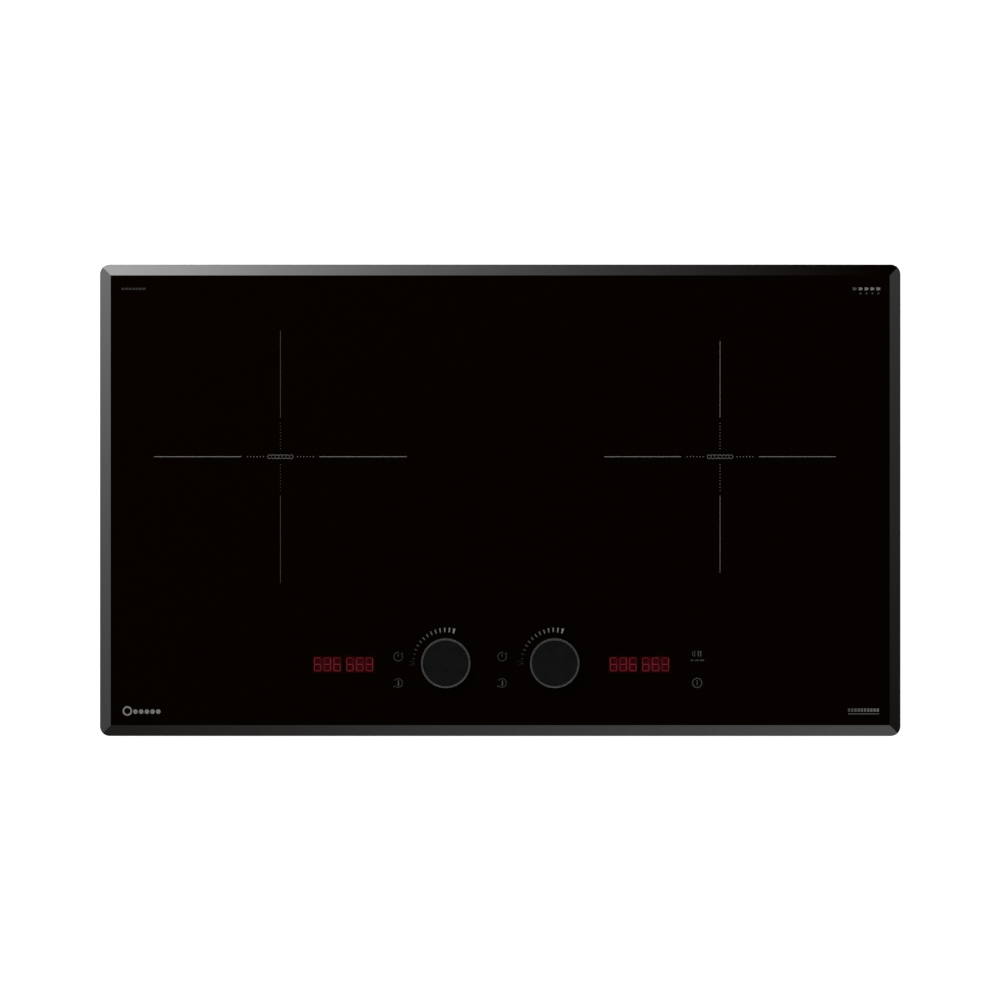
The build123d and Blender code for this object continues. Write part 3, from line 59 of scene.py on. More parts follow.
# --- places read from the frame ------------------------------------------------------------
def middle(node):
    """Centre of a CAD node's box."""
    low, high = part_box(node)
    return (low + high) / 2


GLASS_LOW, GLASS_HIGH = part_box("glass_top")
GLASS_Z = GLASS_HIGH.z
ZONES = (middle("coil_winding_left"), middle("coil_winding_right"))
KNOBS = (middle("knob_ring_left"), middle("knob_ring_right"))
KNOB_Y = KNOBS[0].y


# --- node helpers ----------------------------------------------------------------------------
class Look:
    """A material with a Principled shader, and short calls for the patterns that feed it."""

    def __init__(self, name, colour=(0.5, 0.5, 0.5), rough=0.5, metal=0.0, **sockets):
        self.material = bpy.data.materials.new(name)
        self.material.use_nodes = True
        self.tree = self.material.node_tree
        self.shader = self.tree.nodes["Principled BSDF"]
        self.shader.inputs["Base Color"].default_value = (*colour, 1.0)
        self.shader.inputs["Roughness"].default_value = rough
        self.shader.inputs["Metallic"].default_value = metal
        for socket, value in sockets.items():
            self.shader.inputs[socket.replace("_", " ")].default_value = value
        self.place = self.tree.nodes.new("ShaderNodeTexCoord").outputs["Object"]

    def node(self, kind, **inputs):
        made = self.tree.nodes.new(kind)
        for name, value in inputs.items():
            socket = made.inputs[name.replace("_", " ")]
            if isinstance(value, bpy.types.NodeSocket):
                self.tree.links.new(value, socket)
            else:
                socket.default_value = value
        return made

    def stretched(self, scale, turn=(0, 0, 0)):
        mapping = self.node("ShaderNodeMapping", Vector=self.place)
        mapping.inputs["Scale"].default_value = scale
        mapping.inputs["Rotation"].default_value = turn
        return mapping.outputs["Vector"]

    def noise(self, scale, detail=4.0, vector=None, rough=0.5):
        made = self.node("ShaderNodeTexNoise", Vector=vector or self.place, Scale=scale, Detail=detail)
        made.inputs["Roughness"].default_value = rough
        return made.outputs["Fac"]

    def cells(self, scale, feature="F1", output="Distance", vector=None):
        made = self.node("ShaderNodeTexVoronoi", Vector=vector or self.place, Scale=scale)
        made.feature = feature
        return made.outputs[output]

    def spread(self, fac, low, high, start=0.0, stop=1.0):
        """fac from start..stop carried to low..high."""
        made = self.node("ShaderNodeMapRange", Value=fac)
        made.inputs["From Min"].default_value = start
        made.inputs["From Max"].default_value = stop
        made.inputs["To Min"].default_value = low
        made.inputs["To Max"].default_value = high
        return made.outputs["Result"]

    def ramp(self, fac, *stops):
        """Colours along fac, each stop (position, (r, g, b))."""
        made = self.node("ShaderNodeValToRGB", Fac=fac)
        elements = made.color_ramp.elements
        elements[0].position, elements[0].color = stops[0][0], (*stops[0][1], 1)
        elements[1].position, elements[1].color = stops[-1][0], (*stops[-1][1], 1)
        for position, colour in stops[1:-1]:
            elements.new(position).color = (*colour, 1)
        return made.outputs["Color"]

    def maths(self, operation, first, second=0.0):
        made = self.tree.nodes.new("ShaderNodeMath")
        made.operation = operation
        for socket, value in zip(made.inputs, (first, second)):
            if isinstance(value, bpy.types.NodeSocket):
                self.tree.links.new(value, socket)
            else:
                socket.default_value = value
        return made.outputs[0]

    def parts(self, vector=None):
        made = self.node("ShaderNodeSeparateXYZ", Vector=vector or self.place)
        return made.outputs[0], made.outputs[1], made.outputs[2]

    def set(self, socket, output):
        self.tree.links.new(output, self.shader.inputs[socket])

    def bump(self, height, strength=0.3, distance=0.0001):
        made = self.node("ShaderNodeBump", Height=height, Strength=strength, Distance=distance)
        if self.shader.inputs["Normal"].is_linked:
            before = self.shader.inputs["Normal"].links[0].from_socket
            self.tree.links.new(before, made.inputs["Normal"])
        self.set("Normal", made.outputs["Normal"])


# --- materials, one for each of the record's slots ---------------------------------------------
def black_glass():
    """Polished glass-ceramic: nearly black, with faint wipe marks and a little dust."""
    look = Look("black_glass_ceramic", (0.0040, 0.0013, 0.0), 0.035, Specular_IOR_Level=0.5, IOR=1.5)
    wipes = look.noise(9.0, 5.0, look.stretched((1.0, 3.5, 1.0), (0, 0, 0.4)))
    look.set("Roughness", look.spread(wipes, 0.028, 0.075, 0.45, 0.8))
    return look.material


def foam():
    look = Look("gasket_foam", (0.03, 0.03, 0.031), 0.92)
    pores = look.cells(1400.0)
    look.bump(pores, 0.6, 0.0004)
    look.set("Base Color", look.ramp(pores, (0.0, (0.012, 0.012, 0.013)), (0.8, (0.05, 0.05, 0.052))))
    return look.material


def galvanised():
    """Hot-dip zinc: large flat crystals, each a little lighter or darker, and fine rolling lines."""
    look = Look("galvanised_sheet", (0.5, 0.51, 0.52), 0.42, 0.85)
    crystals = look.node("ShaderNodeTexVoronoi", Vector=look.place, Scale=95.0)
    shade = look.node("ShaderNodeSeparateColor", Color=crystals.outputs["Color"]).outputs[0]
    tones = (0.0, (0.40, 0.41, 0.42)), (0.5, (0.48, 0.49, 0.5)), (1.0, (0.60, 0.61, 0.62))
    look.set("Base Color", look.ramp(shade, *tones))
    look.set("Roughness", look.spread(shade, 0.32, 0.55))
    look.bump(look.noise(900.0, 3.0, look.stretched((0.06, 1.0, 1.0))), 0.12, 0.00008)
    look.bump(shade, 0.08, 0.0001)
    return look.material


def zinc():
    look = Look("bright_zinc", (0.62, 0.63, 0.65), 0.3, 1.0)
    cloud = look.noise(160.0, 5.0)
    look.set("Roughness", look.spread(cloud, 0.22, 0.42, 0.3, 0.7))
    tint = look.noise(45.0, 3.0)
    look.set("Base Color", look.ramp(tint, (0.35, (0.58, 0.59, 0.62)), (0.65, (0.66, 0.655, 0.62))))
    look.bump(look.noise(2200.0, 3.0), 0.15, 0.00005)
    return look.material


def foil():
    look = Look("label_foil", (0.7, 0.7, 0.71), 0.35, 0.6)
    grain = look.noise(700.0, 3.0, look.stretched((0.03, 1.0, 1.0)))
    look.set("Base Color", look.ramp(grain, (0.3, (0.62, 0.62, 0.63)), (0.7, (0.76, 0.76, 0.77))))
    look.bump(grain, 0.1, 0.00004)
    return look.material


def rubber():
    look = Look("black_rubber", (0.02, 0.02, 0.021), 0.7)
    grain = look.noise(1500.0, 4.0)
    look.bump(grain, 0.35, 0.0001)
    look.set("Roughness", look.spread(look.noise(120.0), 0.58, 0.82, 0.3, 0.7))
    return look.material


def moulded(name, colour, rough=0.5, grain=1800.0, depth=0.00008):
    """Injection-moulded plastic with a spark-eroded grain and slightly uneven gloss."""
    look = Look(name, colour, rough)
    look.bump(look.noise(grain, 3.0), 0.4, depth)
    look.set("Roughness", look.spread(look.noise(70.0, 3.0), rough - 0.07, rough + 0.08, 0.3, 0.7))
    dark = tuple(0.86 * c for c in colour)
    look.set("Base Color", look.ramp(look.noise(35.0, 2.0), (0.35, dark), (0.65, colour)))
    return look.material


def mica():
    look = Look("mica_sheet", (0.55, 0.48, 0.36), 0.35)
    flakes = look.cells(260.0, vector=look.stretched((1.0, 1.0, 0.2)))
    look.set("Base Color", look.ramp(flakes, (0.0, (0.42, 0.36, 0.27)), (0.7, (0.66, 0.6, 0.48))))
    look.bump(flakes, 0.2, 0.00008)
    return look.material


def litz():
    look = Look("copper_litz", (0.62, 0.27, 0.12), 0.35, 0.9)
    strands = look.noise(1600.0, 2.0, look.stretched((1.0, 1.0, 0.3)))
    look.set("Base Color", look.ramp(strands, (0.3, (0.4, 0.14, 0.06)), (0.7, (0.75, 0.36, 0.18))))
    look.bump(strands, 0.5, 0.0002)
    return look.material


def ferrite():
    look = Look("ferrite", (0.045, 0.045, 0.05), 0.6)
    look.bump(look.noise(1300.0, 5.0), 0.5, 0.00015)
    tones = (0.3, (0.03, 0.03, 0.034)), (0.7, (0.07, 0.07, 0.075))
    look.set("Base Color", look.ramp(look.noise(300.0), *tones))
    return look.material


def drawn_steel():
    look = Look("drawn_steel", (0.55, 0.55, 0.56), 0.28, 1.0)
    lines = look.noise(1200.0, 2.0, look.stretched((1.0, 1.0, 0.05)))
    look.set("Roughness", look.spread(lines, 0.2, 0.38, 0.3, 0.7))
    look.bump(lines, 0.15, 0.00004)
    return look.material


def aluminium():
    look = Look("mill_aluminium", (0.74, 0.75, 0.76), 0.38, 1.0)
    lines = look.noise(800.0, 3.0, look.stretched((1.0, 0.03, 1.0)))
    look.set("Roughness", look.spread(lines, 0.3, 0.5, 0.3, 0.7))
    look.bump(lines, 0.2, 0.00006)
    return look.material


def circuit_board():
    """Green solder mask with raised tracks under it."""
    look = Look("solder_mask", (0.01, 0.1, 0.03), 0.3)
    tracks = look.cells(170.0, "DISTANCE_TO_EDGE", vector=look.stretched((1.0, 1.0, 0.0)))
    look.set("Base Color", look.ramp(tracks, (0.0, (0.02, 0.19, 0.06)), (0.12, (0.008, 0.085, 0.026))))
    look.bump(look.spread(tracks, 1.0, 0.0, 0.0, 0.15), 0.3, 0.0001)
    return look.material


def stator():
    look = Look("stator_winding", (0.5, 0.2, 0.08), 0.4, 0.8)
    turns = look.noise(2600.0, 1.0, look.stretched((0.1, 0.1, 1.0)))
    look.set("Base Color", look.ramp(turns, (0.4, (0.25, 0.09, 0.04)), (0.6, (0.66, 0.3, 0.14))))
    look.bump(turns, 0.5, 0.00015)
    return look.material


TURNING_RINGS = 15000.0  # radians to the metre, which is a ring every 0.42 mm


def knob_black():
    """Black knob cap with fine turning rings round each knob's own axis."""
    look = Look("knob_cap_black", (0.0044, 0.0044, 0.0045), 0.5, Specular_IOR_Level=0.22)
    x, y, _ = look.parts()
    near = look.maths("MULTIPLY", look.maths("SIGN", x), KNOBS[1].x)
    dx = look.maths("SUBTRACT", x, near)
    dy = look.maths("SUBTRACT", y, KNOB_Y)
    squares = look.maths("ADD", look.maths("POWER", dx, 2.0), look.maths("POWER", dy, 2.0))
    radius = look.maths("SQRT", squares)
    rings = look.maths("SINE", look.maths("MULTIPLY", radius, TURNING_RINGS))
    look.bump(rings, 0.12, 0.00003)
    look.bump(look.noise(2400.0, 3.0), 0.12, 0.00004)
    look.set("Roughness", look.spread(look.noise(140.0, 3.0), 0.44, 0.56, 0.3, 0.7))
    return look.material


def knob_rim():
    look = Look("knob_rim_anodised", (0.14, 0.14, 0.14), 0.42, 0.9)
    lines = look.noise(1500.0, 3.0, look.stretched((1.0, 1.0, 0.1)))
    look.set("Roughness", look.spread(lines, 0.36, 0.48, 0.3, 0.7))
    tones = (0.3, (0.12, 0.12, 0.119)), (0.7, (0.155, 0.155, 0.152))
    look.set("Base Color", look.ramp(look.noise(90.0), *tones))
    look.bump(lines, 0.12, 0.00003)
    return look.material


def print_ink():
    """Enamel printed on the glass. The mesh's ink attribute says how bright each mark is."""
    look = Look("printed_enamel", (0.5, 0.5, 0.5), 0.42, Specular_IOR_Level=0.3)
    ink = look.tree.nodes.new("ShaderNodeAttribute")
    ink.attribute_name = "ink"
    dots = look.noise(3200.0, 2.0)
    mottled = look.spread(dots, 0.82, 1.1, 0.3, 0.7)
    made = look.node("ShaderNodeVectorMath", Vector=ink.outputs["Color"])
    made.operation = "SCALE"
    look.tree.links.new(mottled, made.inputs["Scale"])
    look.set("Base Color", made.outputs["Vector"])
    look.bump(dots, 0.25, 0.00002)
    return look.material


SEGMENT_STRENGTH = 0.62


def lit_segment():
    """Red light-emitting segments seen through the glass; the ink attribute says how bright each is."""
    look = Look("lit_segment", (0.02, 0.001, 0.002), 0.06)
    ink = look.tree.nodes.new("ShaderNodeAttribute")
    ink.attribute_name = "ink"
    glow = look.ramp(look.noise(420.0, 2.0), (0.3, (0.13, 0.026, 0.026)), (0.7, (0.29, 0.024, 0.045)))
    made = look.node("ShaderNodeVectorMath", Vector=glow)
    made.operation = "SCALE"
    look.tree.links.new(ink.outputs["Fac"], made.inputs["Scale"])
    look.set("Emission Color", made.outputs["Vector"])
    look.shader.inputs["Emission Strength"].default_value = SEGMENT_STRENGTH
    return look.material


def display_glow(centre, half_width, half_height):
    """Red light scattered in the glass round one group of digits, fading outwards."""
    look = Look("display_glow", (0.0040, 0.0013, 0.0), 0.04)
    x, y, _ = look.parts()
    dx = look.maths("DIVIDE", look.maths("ABSOLUTE", look.maths("SUBTRACT", x, centre.x)), half_width)
    dy = look.maths("DIVIDE", look.maths("ABSOLUTE", look.maths("SUBTRACT", y, centre.y)), half_height)
    edge = look.maths("MAXIMUM", dx, dy)
    patchy = look.maths("ADD", edge, look.spread(look.noise(380.0, 3.0), -0.16, 0.16))
    tones = (0.55, (0.030, 0.0008, 0.0026)), (0.8, (0.012, 0.0004, 0.001)), (1.0, (0, 0, 0))
    look.set("Emission Color", look.ramp(patchy, *tones))
    look.shader.inputs["Emission Strength"].default_value = 1.0
    return look.material


SLOT_LOOKS = {
    "black_glass": black_glass(),
    "gasket_foam": foam(),
    "galvanised_steel": galvanised(),
    "zinc_steel": zinc(),
    "label_foil": foil(),
    "black_rubber": rubber(),
    "grey_nylon": moulded("grey_nylon", (0.36, 0.37, 0.38), 0.5),
    "mica": mica(),
    "copper_litz": litz(),
    "black_nylon": moulded("black_nylon", (0.022, 0.022, 0.024), 0.48),
    "ferrite": ferrite(),
    "spring_steel": drawn_steel(),
    "white_silicone": moulded("white_silicone", (0.78, 0.77, 0.72), 0.6, 900.0),
    "bare_aluminium": aluminium(),
    "green_board": circuit_board(),
    "epoxy_black": moulded("epoxy_black", (0.018, 0.018, 0.018), 0.55, 2600.0),
    "capacitor_case": moulded("capacitor_case", (0.62, 0.36, 0.03), 0.3, 700.0, 0.00004),
    "stator_copper": stator(),
    "display_red": moulded("display_filter", (0.2, 0.008, 0.006), 0.25, 600.0, 0.00003),
    "knob_black": knob_black(),
    "knob_rim": knob_rim(),
    "cable_insulation": moulded("cable_insulation", (0.42, 0.03, 0.02), 0.38, 900.0, 0.00005),
}
INK = print_ink()

for row in frame["record"]["subparts"]:
    node = NODES[row["node"]]
    node.data.materials.clear()
    node.data.materials.append(SLOT_LOOKS[row["material_slot"]])


def from_bmesh(name, mesh):
    """A new object in the scene with this bmesh's shape; the bmesh is freed."""
    data = bpy.data.meshes.new(name)
    mesh.to_mesh(data)
    mesh.free()
    piece = bpy.data.objects.new(name, data)
    bpy.context.scene.collection.objects.link(piece)
    return piece


# --- printing on the glass ----------------------------------------------------------------------
INK_SHEET = 0.03 * MM  # how thick the print is


class Print:
    """Flat marks a few hundredths of a millimetre thick, lying on the glass, gathered in one mesh."""

    def __init__(self, lift=0.0):
        self.mesh = bmesh.new()
        self.ink = self.mesh.loops.layers.float_color.new("ink")
        self.bottom = GLASS_Z + lift

    def shape(self, outline, level):
        """A slab with this outline, points (x, y) anticlockwise."""
        low = [self.mesh.verts.new((x, y, self.bottom)) for x, y in outline]
        high = [self.mesh.verts.new((x, y, self.bottom + INK_SHEET)) for x, y in outline]
        faces = [self.mesh.faces.new(high), self.mesh.faces.new(low[::-1])]
        for i, _ in enumerate(outline):
            j = (i + 1) % len(outline)
            faces.append(self.mesh.faces.new((low[i], low[j], high[j], high[i])))
        self.paint(faces, level)

    def paint(self, faces, level):
        """Give faces their brightness, very slightly warm."""
        for face in faces:
            for loop in face.loops:
                loop[self.ink] = (level, level, level * 0.98, 1.0)

    def bar(self, start, end, width, level, tip=None):
        """A straight stroke, or a tapered one where tip is the width at its end."""
        start, end = Vector(start), Vector(end)
        along = (end - start).normalized()
        side = Vector((-along.y, along.x))
        half, last = width / 2, (width if tip is None else tip) / 2
        outline = (start - side * half, end - side * last, end + side * last, start + side * half)
        self.shape([tuple(p) for p in outline], level)

    def disc(self, centre, radius, level, sides=20):
        angles = [TAU * i / sides for i in range(sides)]
        outline = [(centre[0] + radius * math.cos(a), centre[1] + radius * math.sin(a)) for a in angles]
        self.shape(outline, level)

    def arc(self, centre, radius, width, level, start=0.0, stop=360.0, step=9.0):
        """A round stroke from start to stop degrees; a full turn closes on itself."""
        count = max(2, round((stop - start) / step))
        full = stop - start >= 360.0
        rows = []
        for i in range(count + (0 if full else 1)):
            angle = math.radians(start + (stop - start) * i / count)
            ray = Vector((math.cos(angle), math.sin(angle)))
            inner = Vector(centre) + ray * (radius - width / 2)
            outer = Vector(centre) + ray * (radius + width / 2)
            rows.append([
                self.mesh.verts.new((p.x, p.y, self.bottom + h))
                for p in (inner, outer)
                for h in (0.0, INK_SHEET)
            ])
        faces = []
        for i in range(count):
            a, b = rows[i], rows[(i + 1) % len(rows)]
            for p, q in ((0, 2), (2, 3), (3, 1), (1, 0)):
                faces.append(self.mesh.faces.new((a[p], a[q], b[q], b[p])))
        if not full:
            faces.append(self.mesh.faces.new([rows[0][k] for k in (0, 1, 3, 2)]))
            faces.append(self.mesh.faces.new([rows[-1][k] for k in (0, 2, 3, 1)]))
        self.paint(faces, level)

    def finish(self, name, material=None):
        bmesh.ops.recalc_face_normals(self.mesh, faces=self.mesh.faces)
        piece = from_bmesh(name, self.mesh)
        piece.data.materials.append(material or INK)
        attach(piece, "hob_base")


ZONE_REACH = (115.0 * MM, 105.4 * MM)  # left and right cross, from centre to arm end
UPRIGHT_LEVELS = (0.085, 0.25)  # left and right
ACROSS_LEVEL = 0.36
LINE_START = 35.5 * MM
LINE_WIDTH = 0.55 * MM
DOT_PITCH = 2.9 * MM
DOT_RADIUS = 0.45 * MM
DOT_SHARE = 0.9  # a dot's brightness as a share of its line's
DOTS_FROM = (15.5 * MM, 7.3 * MM)  # across, up and down
SIGN_LOOPS = 7
SIGN_PITCH = 3.3 * MM
SIGN_RADIUS = 1.75 * MM
SIGN_WIDTH = 0.45 * MM
SIGN_LEVEL = 0.26


def zone_mark(side, centre, reach, upright):
    """One cooking zone: a cross with dotted inner ends, and a coil sign in its middle.

    upright is the brightness of the arms that run front to back.
    """
    sheet = Print()
    for way in (Vector((1, 0)), Vector((-1, 0)), Vector((0, 1)), Vector((0, -1))):
        across = way.x != 0
        level = ACROSS_LEVEL if across else upright
        sheet.bar(centre.xy + way * LINE_START, centre.xy + way * reach, LINE_WIDTH, level)
        first = DOTS_FROM[0] if across else DOTS_FROM[1]
        count = int((LINE_START - first) / DOT_PITCH)
        for i in range(count):
            sheet.disc(centre.xy + way * (first + i * DOT_PITCH), DOT_RADIUS, level * DOT_SHARE, 10)
    for i in range(SIGN_LOOPS):
        offset = (i - (SIGN_LOOPS - 1) / 2) * SIGN_PITCH
        sheet.arc(centre.xy + Vector((offset, 0)), SIGN_RADIUS, SIGN_WIDTH, SIGN_LEVEL, step=15.0)
    sheet.finish(f"zone_print_{side}")


for side, centre, reach, upright in zip(("left", "right"), ZONES, ZONE_REACH, UPRIGHT_LEVELS):
    zone_mark(side, centre, reach, upright)

TICK_RING = 29.7 * MM
TICKS = 14
TICK_START = 76.0  # degrees
TICK_STEP = 8.1
TICK_LENGTH, TICK_SHORTENS = 4.4 * MM, 2.2 * MM
TICK_BROAD, TICK_NARROWS = 1.25 * MM, 0.35 * MM
FIRST_TICK_BROAD = 1.6 * MM
TICK_ENDS = (0.8, 1.2)  # a tick's inner and outer width as shares of its breadth
TICK_LEVEL, TICK_FAINTEST, TICK_FADE = 0.46, 0.03, 1.6  # the last is how fast the ticks grow dim
DASH_LENGTH, DASH_WIDTH, DASH_LEVEL = 6.0 * MM, 0.5 * MM, 0.02
DASH_OUT = 4.2 * MM  # how far a dash begins outside the ring of ticks
DASH_UP, DASH_PITCH = 1.0 * MM, 3.2 * MM


def level_scale(side, knob):
    """Ticks round a knob's upper left, from long and bright to short and dim, and two faint dashes."""
    sheet = Print()
    for i in range(TICKS):
        fade = i / (TICKS - 1)
        angle = math.radians(TICK_START + i * TICK_STEP)
        ray = Vector((math.cos(angle), math.sin(angle)))
        length = TICK_LENGTH - TICK_SHORTENS * fade
        inner = knob.xy + ray * (TICK_RING - length / 2)
        outer = knob.xy + ray * (TICK_RING + length / 2)
        broad = TICK_BROAD - TICK_NARROWS * fade if i else FIRST_TICK_BROAD
        level = TICK_LEVEL * (1 - fade) ** TICK_FADE + TICK_FAINTEST
        sheet.bar(inner, outer, broad * TICK_ENDS[0], level, broad * TICK_ENDS[1])
    for i in range(2):
        start = knob.xy + Vector((-TICK_RING - DASH_OUT, DASH_UP - DASH_PITCH * i))
        sheet.bar(start, start + Vector((DASH_LENGTH, 0)), DASH_WIDTH, DASH_LEVEL)
    sheet.finish(f"level_scale_{side}")


for side, knob in zip(("left", "right"), KNOBS):
    level_scale(side, knob)


KEY_COLUMNS = (-93.0, 1.7)  # millimetres from the middle of the hob
LAST_COLUMN = 179.5
UPPER_KEY, LOWER_KEY = 5.4, -18.6  # millimetres from the knobs' axes
LOCK_KEY, POWER_KEY = 8.1, -18.5
KEY_LEVEL = 0.062
KEY_RADIUS = 3.9 * MM
KEY_STROKE = 0.8  # millimetres


def key(x, dy):
    """A key's place: x from the middle of the hob, dy from the knobs' axes, in millimetres."""
    return Vector((x * MM, KNOB_Y + dy * MM))


def stroke(sheet, centre, start, end, width, share):
    """A bar of a key sign. start and end are from centre; they and width are in millimetres.

    share is its brightness as a multiple of KEY_LEVEL.
    """
    sheet.bar(centre + Vector(start) * MM, centre + Vector(end) * MM, width * MM, KEY_LEVEL * share)


def key_marks():
    """The six touch keys' signs."""
    sheet = Print()
    for column in KEY_COLUMNS:
        clock = key(column, UPPER_KEY)
        sheet.arc(clock, KEY_RADIUS, KEY_STROKE * MM, KEY_LEVEL, 75.0, 395.0)
        stroke(sheet, clock, (0.0, 0.0), (0.0, 2.2), KEY_STROKE, 1.5)
        stroke(sheet, clock, (2.4, 2.6), (4.4, 3.4), KEY_STROKE, 1.0)
        boost = key(column, LOWER_KEY)
        sheet.arc(boost, KEY_RADIUS, KEY_STROKE * MM, KEY_LEVEL, 215.0, 505.0)
        stroke(sheet, boost, (0.3, -2.4), (0.3, 2.2), 1.1, 2.0)
        stroke(sheet, boost, (-4.4, -3.2), (-1.6, -3.2), KEY_STROKE, 1.0)
    lock = key(LAST_COLUMN, LOCK_KEY)
    sheet.arc(lock + Vector((-2.2, 0.0)) * MM, 2.2 * MM, 0.7 * MM, KEY_LEVEL * 1.3, 90.0, 270.0)
    stroke(sheet, lock, (-2.2, -2.6), (-2.2, 2.6), 0.7, 1.3)
    for x in (1.0, 3.2):
        stroke(sheet, lock, (x, -2.4), (x, 2.6), 1.2, 1.6)
    for i in range(3):
        x = -6.4 + 4.6 * i
        stroke(sheet, lock, (x, -6.0), (x + 3.4, -6.0), 1.3, 1.0 + 0.3 * i)
    power = key(LAST_COLUMN, POWER_KEY)
    sheet.arc(power, 4.2 * MM, 0.9 * MM, KEY_LEVEL * 1.5)
    stroke(sheet, power, (0.0, -2.2), (0.0, 2.4), 0.9, 1.5)
    sheet.finish("key_print")


key_marks()

MARKS_FROM_SIDES = 20.0 * MM
MARKS_FROM_BACK = 22.3 * MM
MARKS_FROM_FRONT = 23.0 * MM
# back left
BLOCKS, BLOCK_PITCH, BLOCK_LEVEL = 7, 3.2 * MM, 0.045
BLOCK_LENGTH, BLOCK_WIDTH = 2.4 * MM, 1.9 * MM
# back right, counted in from the marks' right end; every peg but the first has a dot in front of it
PEGS, PEG_PITCH, PEGS_IN = 5, 5.4 * MM, 22.0 * MM
PEG_HALF_LENGTH, PEG_WIDTH, PEG_TIP = 1.7 * MM, 3.0 * MM, 2.0 * MM
PEG_LEVEL, FIRST_PEG_LEVEL = 0.32, 0.12
PEG_DOT_DROP, PEG_DOT_RADIUS, PEG_DOT_LEVEL = 4.2 * MM, 0.9 * MM, 0.1
# front left
RING_IN, RING_RADIUS, RING_WIDTH, RING_LEVEL = 5.2 * MM, 3.6 * MM, 1.5 * MM, 0.36
DISCS, DISC_PITCH, DISCS_IN, DISC_DROP = 5, 5.2 * MM, 12.6 * MM, 0.6 * MM
DISC_RADIUS, DISC_LEVEL = 2.1 * MM, 0.34
# front right
BARS, BAR_PITCH, BARS_IN, BAR_RISE = 10, 2.9 * MM, 27.0 * MM, 0.8 * MM
BAR_HALF_LENGTH, BAR_WIDTH = 1.0 * MM, 3.0 * MM
BAR_LEVEL, BAR_BRIGHTENS = 0.13, 0.016
UNDERLINE_IN, UNDERLINE_PAST, UNDERLINE_DROP = 28.0 * MM, 0.2 * MM, 2.6 * MM
UNDERLINE_WIDTH, UNDERLINE_LEVEL = 0.8 * MM, 0.16


def corner_marks():
    """Small plain marks near the corners.

    At the back, a dim row and a bright row; at the front, a ring with discs and an underlined row.
    """
    sheet = Print()
    back = GLASS_HIGH.y - MARKS_FROM_BACK
    front = GLASS_LOW.y + MARKS_FROM_FRONT
    left = GLASS_LOW.x + MARKS_FROM_SIDES
    right = GLASS_HIGH.x - MARKS_FROM_SIDES
    for i in range(BLOCKS):
        start = Vector((left + i * BLOCK_PITCH, back))
        sheet.bar(start, start + Vector((BLOCK_LENGTH, 0)), BLOCK_WIDTH, BLOCK_LEVEL)
    for i in range(PEGS):
        x = right - PEGS_IN + i * PEG_PITCH
        level = PEG_LEVEL if i else FIRST_PEG_LEVEL
        ends = (x - PEG_HALF_LENGTH, back), (x + PEG_HALF_LENGTH, back)
        sheet.bar(*ends, PEG_WIDTH, level, PEG_TIP)
        if i:
            sheet.disc((x, back - PEG_DOT_DROP), PEG_DOT_RADIUS, PEG_DOT_LEVEL, 12)
    sheet.arc((left + RING_IN, front), RING_RADIUS, RING_WIDTH, RING_LEVEL)
    for i in range(DISCS):
        x = left + DISCS_IN + i * DISC_PITCH
        sheet.disc((x, front - DISC_DROP), DISC_RADIUS, DISC_LEVEL, 24)
    for i in range(BARS):
        x = right - BARS_IN + i * BAR_PITCH
        y = front + BAR_RISE
        ends = (x - BAR_HALF_LENGTH, y), (x + BAR_HALF_LENGTH, y)
        sheet.bar(*ends, BAR_WIDTH, BAR_LEVEL + BAR_BRIGHTENS * i)
    y = front - UNDERLINE_DROP
    sheet.bar((right - UNDERLINE_IN, y), (right + UNDERLINE_PAST, y), UNDERLINE_WIDTH, UNDERLINE_LEVEL)
    sheet.finish("corner_print")


corner_marks()

# --- lit digits -----------------------------------------------------------------------------------
DIGIT_PITCH = 8.9 * MM
DIGIT_WIDTH = 6.6 * MM
DIGIT_HEIGHT = 12.6 * MM
SEGMENT_WIDTH = 0.85 * MM
GROUP_PITCH = 29.5 * MM
DISPLAY_DROP = 1.6 * MM  # the digits' middle is this far in front of the knobs' axes
GLOW_MARGIN = Vector((1.0, 2.0)) * MM  # round a group of digits
SEGMENT_LEVELS = (
    (0.8, 1.1, 0.8, 1.0, 0.9, 0.8, 0.3),
    (0.7, 1.0, 0.55, 0.6, 0.5, 1.0, 1.15),
    (0.95, 1.1, 0.6, 0.9, 0.8, 0.9, 0.35),
)  # bottom, middle and top bars, then left lower, left upper, right lower and right upper


def segment(sheet, start, end, level):
    """One bar of a digit, with pointed ends."""
    start, end = Vector(start), Vector(end)
    along = (end - start).normalized()
    side = Vector((-along.y, along.x)) * SEGMENT_WIDTH / 2
    trim = along * SEGMENT_WIDTH * 0.55
    outline = (
        start + trim * 0.2,
        start + trim - side,
        end - trim - side,
        end - trim * 0.2,
        end - trim + side,
        start + trim + side,
    )
    sheet.shape([tuple(p) for p in outline], level)


def digit(sheet, centre, turn):
    """A seven-segment digit with every bar lit, some brighter than others; turn shifts which."""
    half = Vector((DIGIT_WIDTH - SEGMENT_WIDTH, DIGIT_HEIGHT - SEGMENT_WIDTH)) / 2
    levels = SEGMENT_LEVELS[turn % len(SEGMENT_LEVELS)]
    for row, level in zip((-1, 0, 1), levels[:3]):
        y = centre.y + row * half.y
        segment(sheet, (centre.x - half.x, y), (centre.x + half.x, y), level)
    for column, low, high in ((-1, *levels[3:5]), (1, *levels[5:])):
        x = centre.x + column * half.x
        segment(sheet, (x, centre.y - half.y), (x, centre.y), low)
        segment(sheet, (x, centre.y), (x, centre.y + half.y), high)


